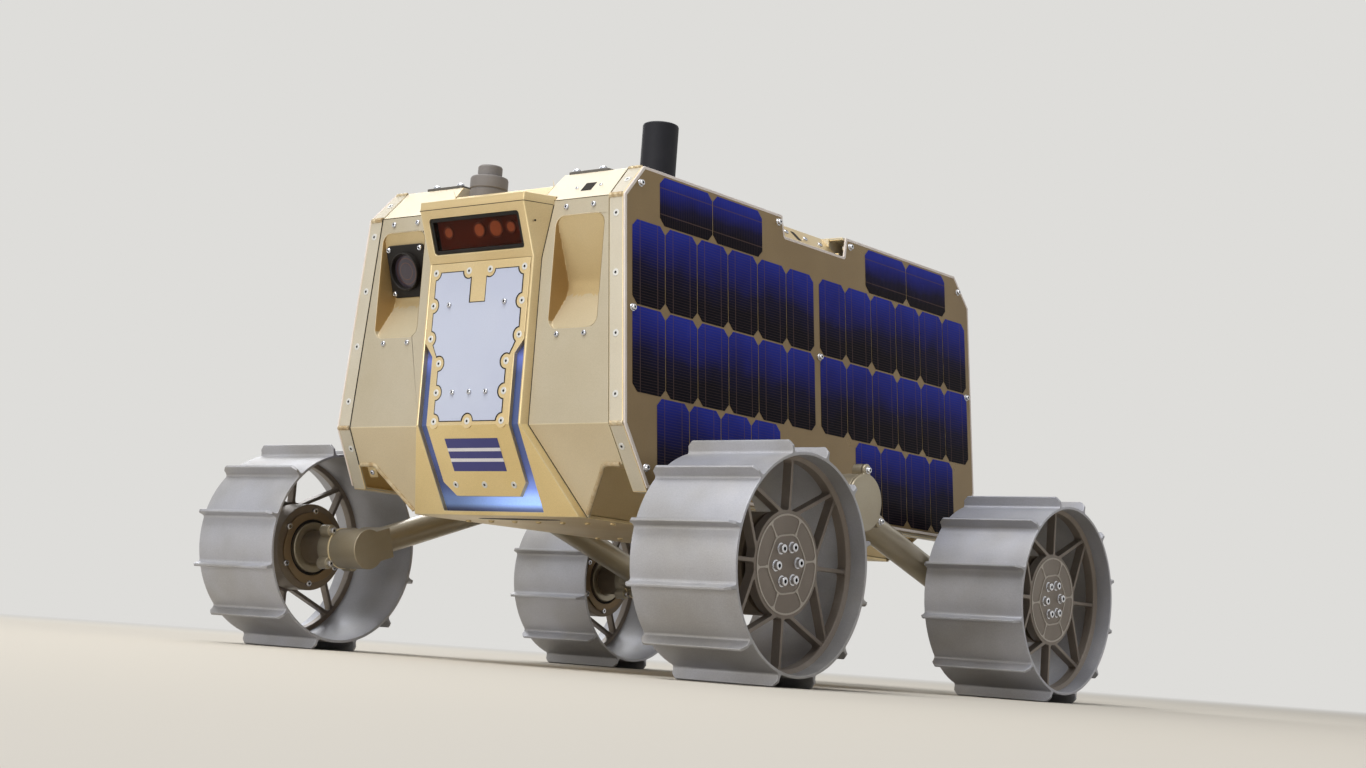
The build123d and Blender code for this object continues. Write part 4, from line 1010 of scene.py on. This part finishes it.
# Rockers: hard-coated tubes between a pivot hub on each side of the body and cast knuckles at
# the wheels. Three screws hold the pivot's cover on its ears.
rocker_coat = coated("rocker_coat", (168, 157, 133), (154, 141, 115), 0.6, 0.38, relief=0.00008)
lacquer = rocker_coat.node_tree.nodes["Principled BSDF"]
lacquer.inputs["Coat Weight"].default_value = 0.6
lacquer.inputs["Coat Roughness"].default_value = 0.22
rocker_nodes = [
    # node, width and steps of its eased edges
    ("pivot_shafts", 0.0005, 2),
    ("rocker_hubs", 0.0006, 2),
    ("rocker_tubes", 0.0004, 2),
    ("pivot_covers", 0.0012, 3),
    ("knuckles", 0.0008, 3),
]
for node, width, steps in rocker_nodes:
    softened(node, rocker_coat, None, width, steps)
cover_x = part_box("pivot_covers")[1].x
ear_post = turned([(5.5, 0.3), (5.5, -9.0), (4.6, -10.0), (0.01, -10.0)], 36)
ear_circle = 28.0
places = []
for side in (1, -1):
    for n in range(3):
        y, z = polar(ear_circle, 90 + 120 * n)
        places.append(moved(side * cover_x, y * 0.001, pivot_z + z * 0.001) @ aimed((side, 0, 0)) @ in_mm)
sunk = [place @ moved(0, 0, -3.5) for place in places]
gather("pivot_ears", [(ear_post, sunk)], [rocker_coat], ease=0.0004)
gather("pivot_screws", [(stand_screw, places)], [steel, socket])

# Knuckles' bolts and the motors: each motor is a dark drum in its wheel, with a browned boss
# on its inner face, six screws, and a flange that the knuckle's sleeve clamps.
motor_coat = coated("motor_coat", (137, 122, 102), (120, 106, 88), 0.3, 0.46)
softened("wheel_motors", motor_coat, None, 0.0006)
boss_coat = coated("boss_coat", (150, 127, 94), (132, 110, 80), 0.4, 0.5)
boss_edge = rounded_loop([polar(33.0 if n % 2 else 35.0, 15 + 30 * n) for n in range(12)], 8.0, 4)
boss = cut_plate([boss_edge, [polar(25.6, 6 * n) for n in range(60)]], 2.4, 0.5)
gap_ring = turned([(25.8, 0.0), (25.8, 0.5), (22.8, 0.5), (22.8, 0.0)], 60)
flange_ring = turned([(23.0, 2.6), (23.0, 3.6), (22.2, 4.2), (17.6, 4.2), (16.6, 3.6), (15.2, 3.2)], 60)
seam_ring = turned([(18.0, -0.9), (18.5, -0.6), (18.5, 0.6), (18.0, 0.9)], 60)
rows = [(0.01, 1.4), (1.3, 1.4, 6), (1.3, 3.0, 6), (2.3, 3.0), (2.7, 2.7), (2.75, 2.2), (2.75, 0.0)]
cap_small = socketed(rows, 1.4, 30)
# inner faces of motors and sleeves, in metres off the middle, and their screws' circles
motor_x, motor_circle = 0.251, 33.2
sleeve_x, sleeve_circle = 0.207, 20.9
motors, sleeves, places = [], [], []
for joint in frame["joints"]:
    x, y, z = joint["pos_m"]
    side = 1 if x > 0 else -1
    motor = moved(side * motor_x, y, z) @ aimed((-side, 0, 0)) @ in_mm
    sleeve = moved(side * sleeve_x, y, z) @ aimed((-side, 0, 0)) @ in_mm
    motors.append(motor)
    sleeves.append(sleeve)
    places += [motor @ moved(*polar(motor_circle, 30 + 60 * n), 0.2) for n in range(6)]
    places += [sleeve @ moved(*polar(sleeve_circle, 45 + 90 * n), 0) for n in range(4)]
bosses = [motor @ moved(0, 0, 1.2) for motor in motors]
gather("motor_bosses", [(boss, bosses)], [boss_coat])
# painted shadow: a dark ring in the gap round each boss
gather("motor_gaps", [(gap_ring, motors)], [painted_shadow])
gather("motor_flanges", [(flange_ring, motors)], [rocker_coat])
gather("sleeve_seams", [(seam_ring, sleeves)], [gold_edge])
gather("motor_screws", [(cap_small, places)], [steel, socket])

# Belly plate: it closes the keel, with a wide slotted opening under the nose and three rows
# of screws.
softened("belly_plate", gold_coat, gold_edge)
belly_rise = -71.5
# the slotted opening is painted shade: a thin dark plate under the belly
slot_edge = rounded_loop([(-46, 5), (0, 9), (46, 5), (46, -1), (24, -5), (-24, -5), (-46, -1)], 3.0)
slot_place = on_body @ moved(0, 67.3, belly_rise) @ Matrix.Rotation(math.pi, 4, "X")
gather("belly_slot", [(cut_plate([slot_edge], 0.3, 0.05), slot_place)], [painted_shadow])
places = []
for x in range(-84, 85, 28):
    places += [facing(x, y, belly_rise, (0, 0, -1), 7 * x) for y in (90.0, 264.5, 438.0)]
gather("belly_screws", [(dome_screw, places)], [gold_coat, socket])

# Wheels: each is cut from one piece of aluminium and bead-blasted. Twelve blades stand on the
# rim with coved roots; deep narrow struts carry a hub plate that six cap screws clamp.
rim_inside, rim_radius, rim_half = 82.5, 85.0, 50.0
blade_tip, blade_cut = 95.0, 4.2
blade_shoulder = blade_tip - blade_cut
# half a blade from its coved root to its tip: half thickness, radius
blade_side = [(4.0, 85.0), (2.9, 85.15), (2.1, 85.6), (1.6, 86.3)]
blade_side += [(1.35, 87.3), (1.3, 94.6), (0.95, 95.0)]
blade_side = [(math.degrees(half / radius), radius) for half, radius in blade_side]
root = blade_side[0][0]
outline = []
for blade in range(12):
    middle = 15 + 30 * blade
    outline += [(middle - turn, radius) for turn, radius in blade_side]
    outline += [(middle + turn, radius) for turn, radius in reversed(blade_side)]
    outline += [(middle + root + (30 - 2 * root) * step / 9, rim_radius) for step in range(1, 9)]
# at each end of the rim: its inside, its face up to the blades' shoulders, and their cut corners
rim_bm = bmesh.new()
rim_rings = []
for end in (1, -1):
    rings = [[], [], []]
    for turn, radius in outline:
        low = min(radius, blade_shoulder)
        for ring, reach, drop in zip(rings, (rim_inside, low, radius), (0.0, 0.0, radius - low)):
            ring.append(rim_bm.verts.new((*polar(reach, turn), end * (rim_half - drop))))
    rim_rings += rings[::end]
skin(rim_bm, rim_rings + rim_rings[:1])
bmesh.ops.remove_doubles(rim_bm, verts=rim_bm.verts, dist=0.002)
bmesh.ops.dissolve_degenerate(rim_bm, edges=rim_bm.edges, dist=0.002)
rim = mesh_of(rim_bm, "rim")

web_face, web_depth = 33.5, 8.0
rows = [(83.0, 24.0), (79.6, 25.6), (78.8, 26.4), (78.8, 33.0), (79.3, 34.0), (80.2, 34.4), (83.0, 36.4)]
ledge = turned(rows, 120)


def strut_edge(hub_angle, rim_angle, offset):
    """Line along a strut's side: a point, and its direction."""
    hub_end, rim_end = 41.0, 83.75
    root, tip = Vector(polar(hub_end, hub_angle)), Vector(polar(rim_end, rim_angle))
    along = (tip - root).normalized()
    return root + Vector((-along.y, along.x)) * offset, along


def on_circle(line, radius):
    """Where a strut's side meets a circle about the axle."""
    point, along = line
    b = point.dot(along)
    return tuple(point + along * (-b + math.sqrt(b * b - point.dot(point) + radius * radius)))


def window(first, second):
    """Opening between two struts: along the hub, out, along the rim and back, corners rounded."""
    near_hub, near_rim, half_strut, bend = 41.2, 79.4, 1.6, 3.2
    line_a, line_b = strut_edge(*first, half_strut), strut_edge(*second, -half_strut)
    corners = []
    for radius, lines in ((near_hub, (line_b, line_a)), (near_rim, (line_a, line_b))):
        ends = [on_circle(line, radius) for line in lines]
        angles = [math.degrees(math.atan2(y, x)) for x, y in ends]
        turn = (angles[1] - angles[0] + 180) % 360 - 180
        count = max(1, round(abs(turn) / 5))
        corners.append((*ends[0], bend))
        corners += [(*polar(radius, angles[0] + turn * n / count), 1.0) for n in range(1, count)]
        corners.append((*ends[1], bend))
    return rounded_loop(corners, bend)


openings = []
for turn in (0, 90, 180, 270):
    struts = [(turn, turn), (turn + 15, turn + 44), (turn + 75, turn + 46), (turn + 90, turn + 90)]
    openings += [window(first, second) for first, second in zip(struts, struts[1:])]
web = cut_plate([[polar(82.8, 3 * n) for n in range(120)]] + openings, web_depth, 0.5)

# hub plate's raised ridges: a circle, a rounded hexagon and six spokes that flare between them
hub_turn = 8.0
ridge_loops = [
    [[polar(radius, 5 * n) for n in range(72)] for radius in (38.3, 36.9)],
    [
        rounded_loop([polar(radius, hub_turn + 60 * n) for n in range(6)], 7.0, 5)
        for radius in (26.2, 24.7)
    ],
]
spoke = [(24.4, 1.5), (27.5, 0.7), (33.6, 0.65), (35.6, 1.3), (37.1, 3.6)]
spoke += [(radius, -half) for radius, half in reversed(spoke)]
for n in range(6):
    out = Vector(polar(1.0, hub_turn + 60 * n))
    across = Vector((-out.y, out.x))
    ridge_loops.append([[tuple(out * radius + across * half) for radius, half in spoke]])
ridges = [cut_plate(loops, 1.1, 0.15) for loops in ridge_loops]
# painted highlight: the ridges' crests get a paler coat
for ridge in ridges:
    for face in ridge.polygons:
        face.material_index = 1
spindle = turned([(10.0, 25.8), (10.0, 6.2), (9.4, 5.5), (0.01, 5.5)], 40)
rows = [(0.01, 1.6), (1.75, 1.6, 6), (1.75, 4.0, 6), (2.9, 4.0), (3.3, 3.8), (3.5, 3.4), (3.5, 0.5)]
cap_screw = socketed(rows + [(3.9, 0.4), (4.4, 0.4), (4.4, 0.0)], 1.9, 36)
bolt_circle = 14.2

wheel_coat = coated(
    "blasted_aluminium", (176, 177, 184), (158, 156, 155), 0.5, 0.48,
    grain=900.0, relief=0.00018, dust=0.32,
)
# painted shade and warm reflection: the web, deep inside the rim, gets a darker, warmer copy of the aluminium
web_shade_coat = coated("web_painted_shade", (132, 122, 112), (118, 108, 99), 0.4, 0.44, relief=0.00008)
# painted highlight: a paler coat for the hub plate's ridges
ridge_highlight_coat = coated("ridge_painted_highlight", (186, 178, 168), (172, 164, 154), 0.25, 0.45, dust=0.1)
for joint in frame["joints"]:
    side = 1 if joint["pos_m"][0] > 0 else -1
    wheel_axes = Matrix(((0, 0, side, 0), (side, 0, 0, 0), (0, 1, 0, 0), (0, 0, 0, 1)))
    place = moved(*joint["pos_m"]) @ wheel_axes @ in_mm
    at_face = place @ moved(0, 0, web_face)
    body = joint["child"]
    wheel = body.removesuffix("_body")
    gather(wheel + "_rim", [(rim, place)], [wheel_coat], [wheel], body, 0.0005)
    web_parts = [(web, place @ moved(0, 0, web_face - web_depth / 2)), (ledge, place), (spindle, place)]
    web_parts += [(ridge, at_face) for ridge in ridges]
    gather(wheel + "_web", web_parts, [web_shade_coat, ridge_highlight_coat], body=body)
    bolts = [at_face @ moved(*polar(bolt_circle, hub_turn + 60 * n), 0) for n in range(6)]
    gather(wheel + "_bolts", [(cap_screw, bolts)], [steel, socket], body=body)
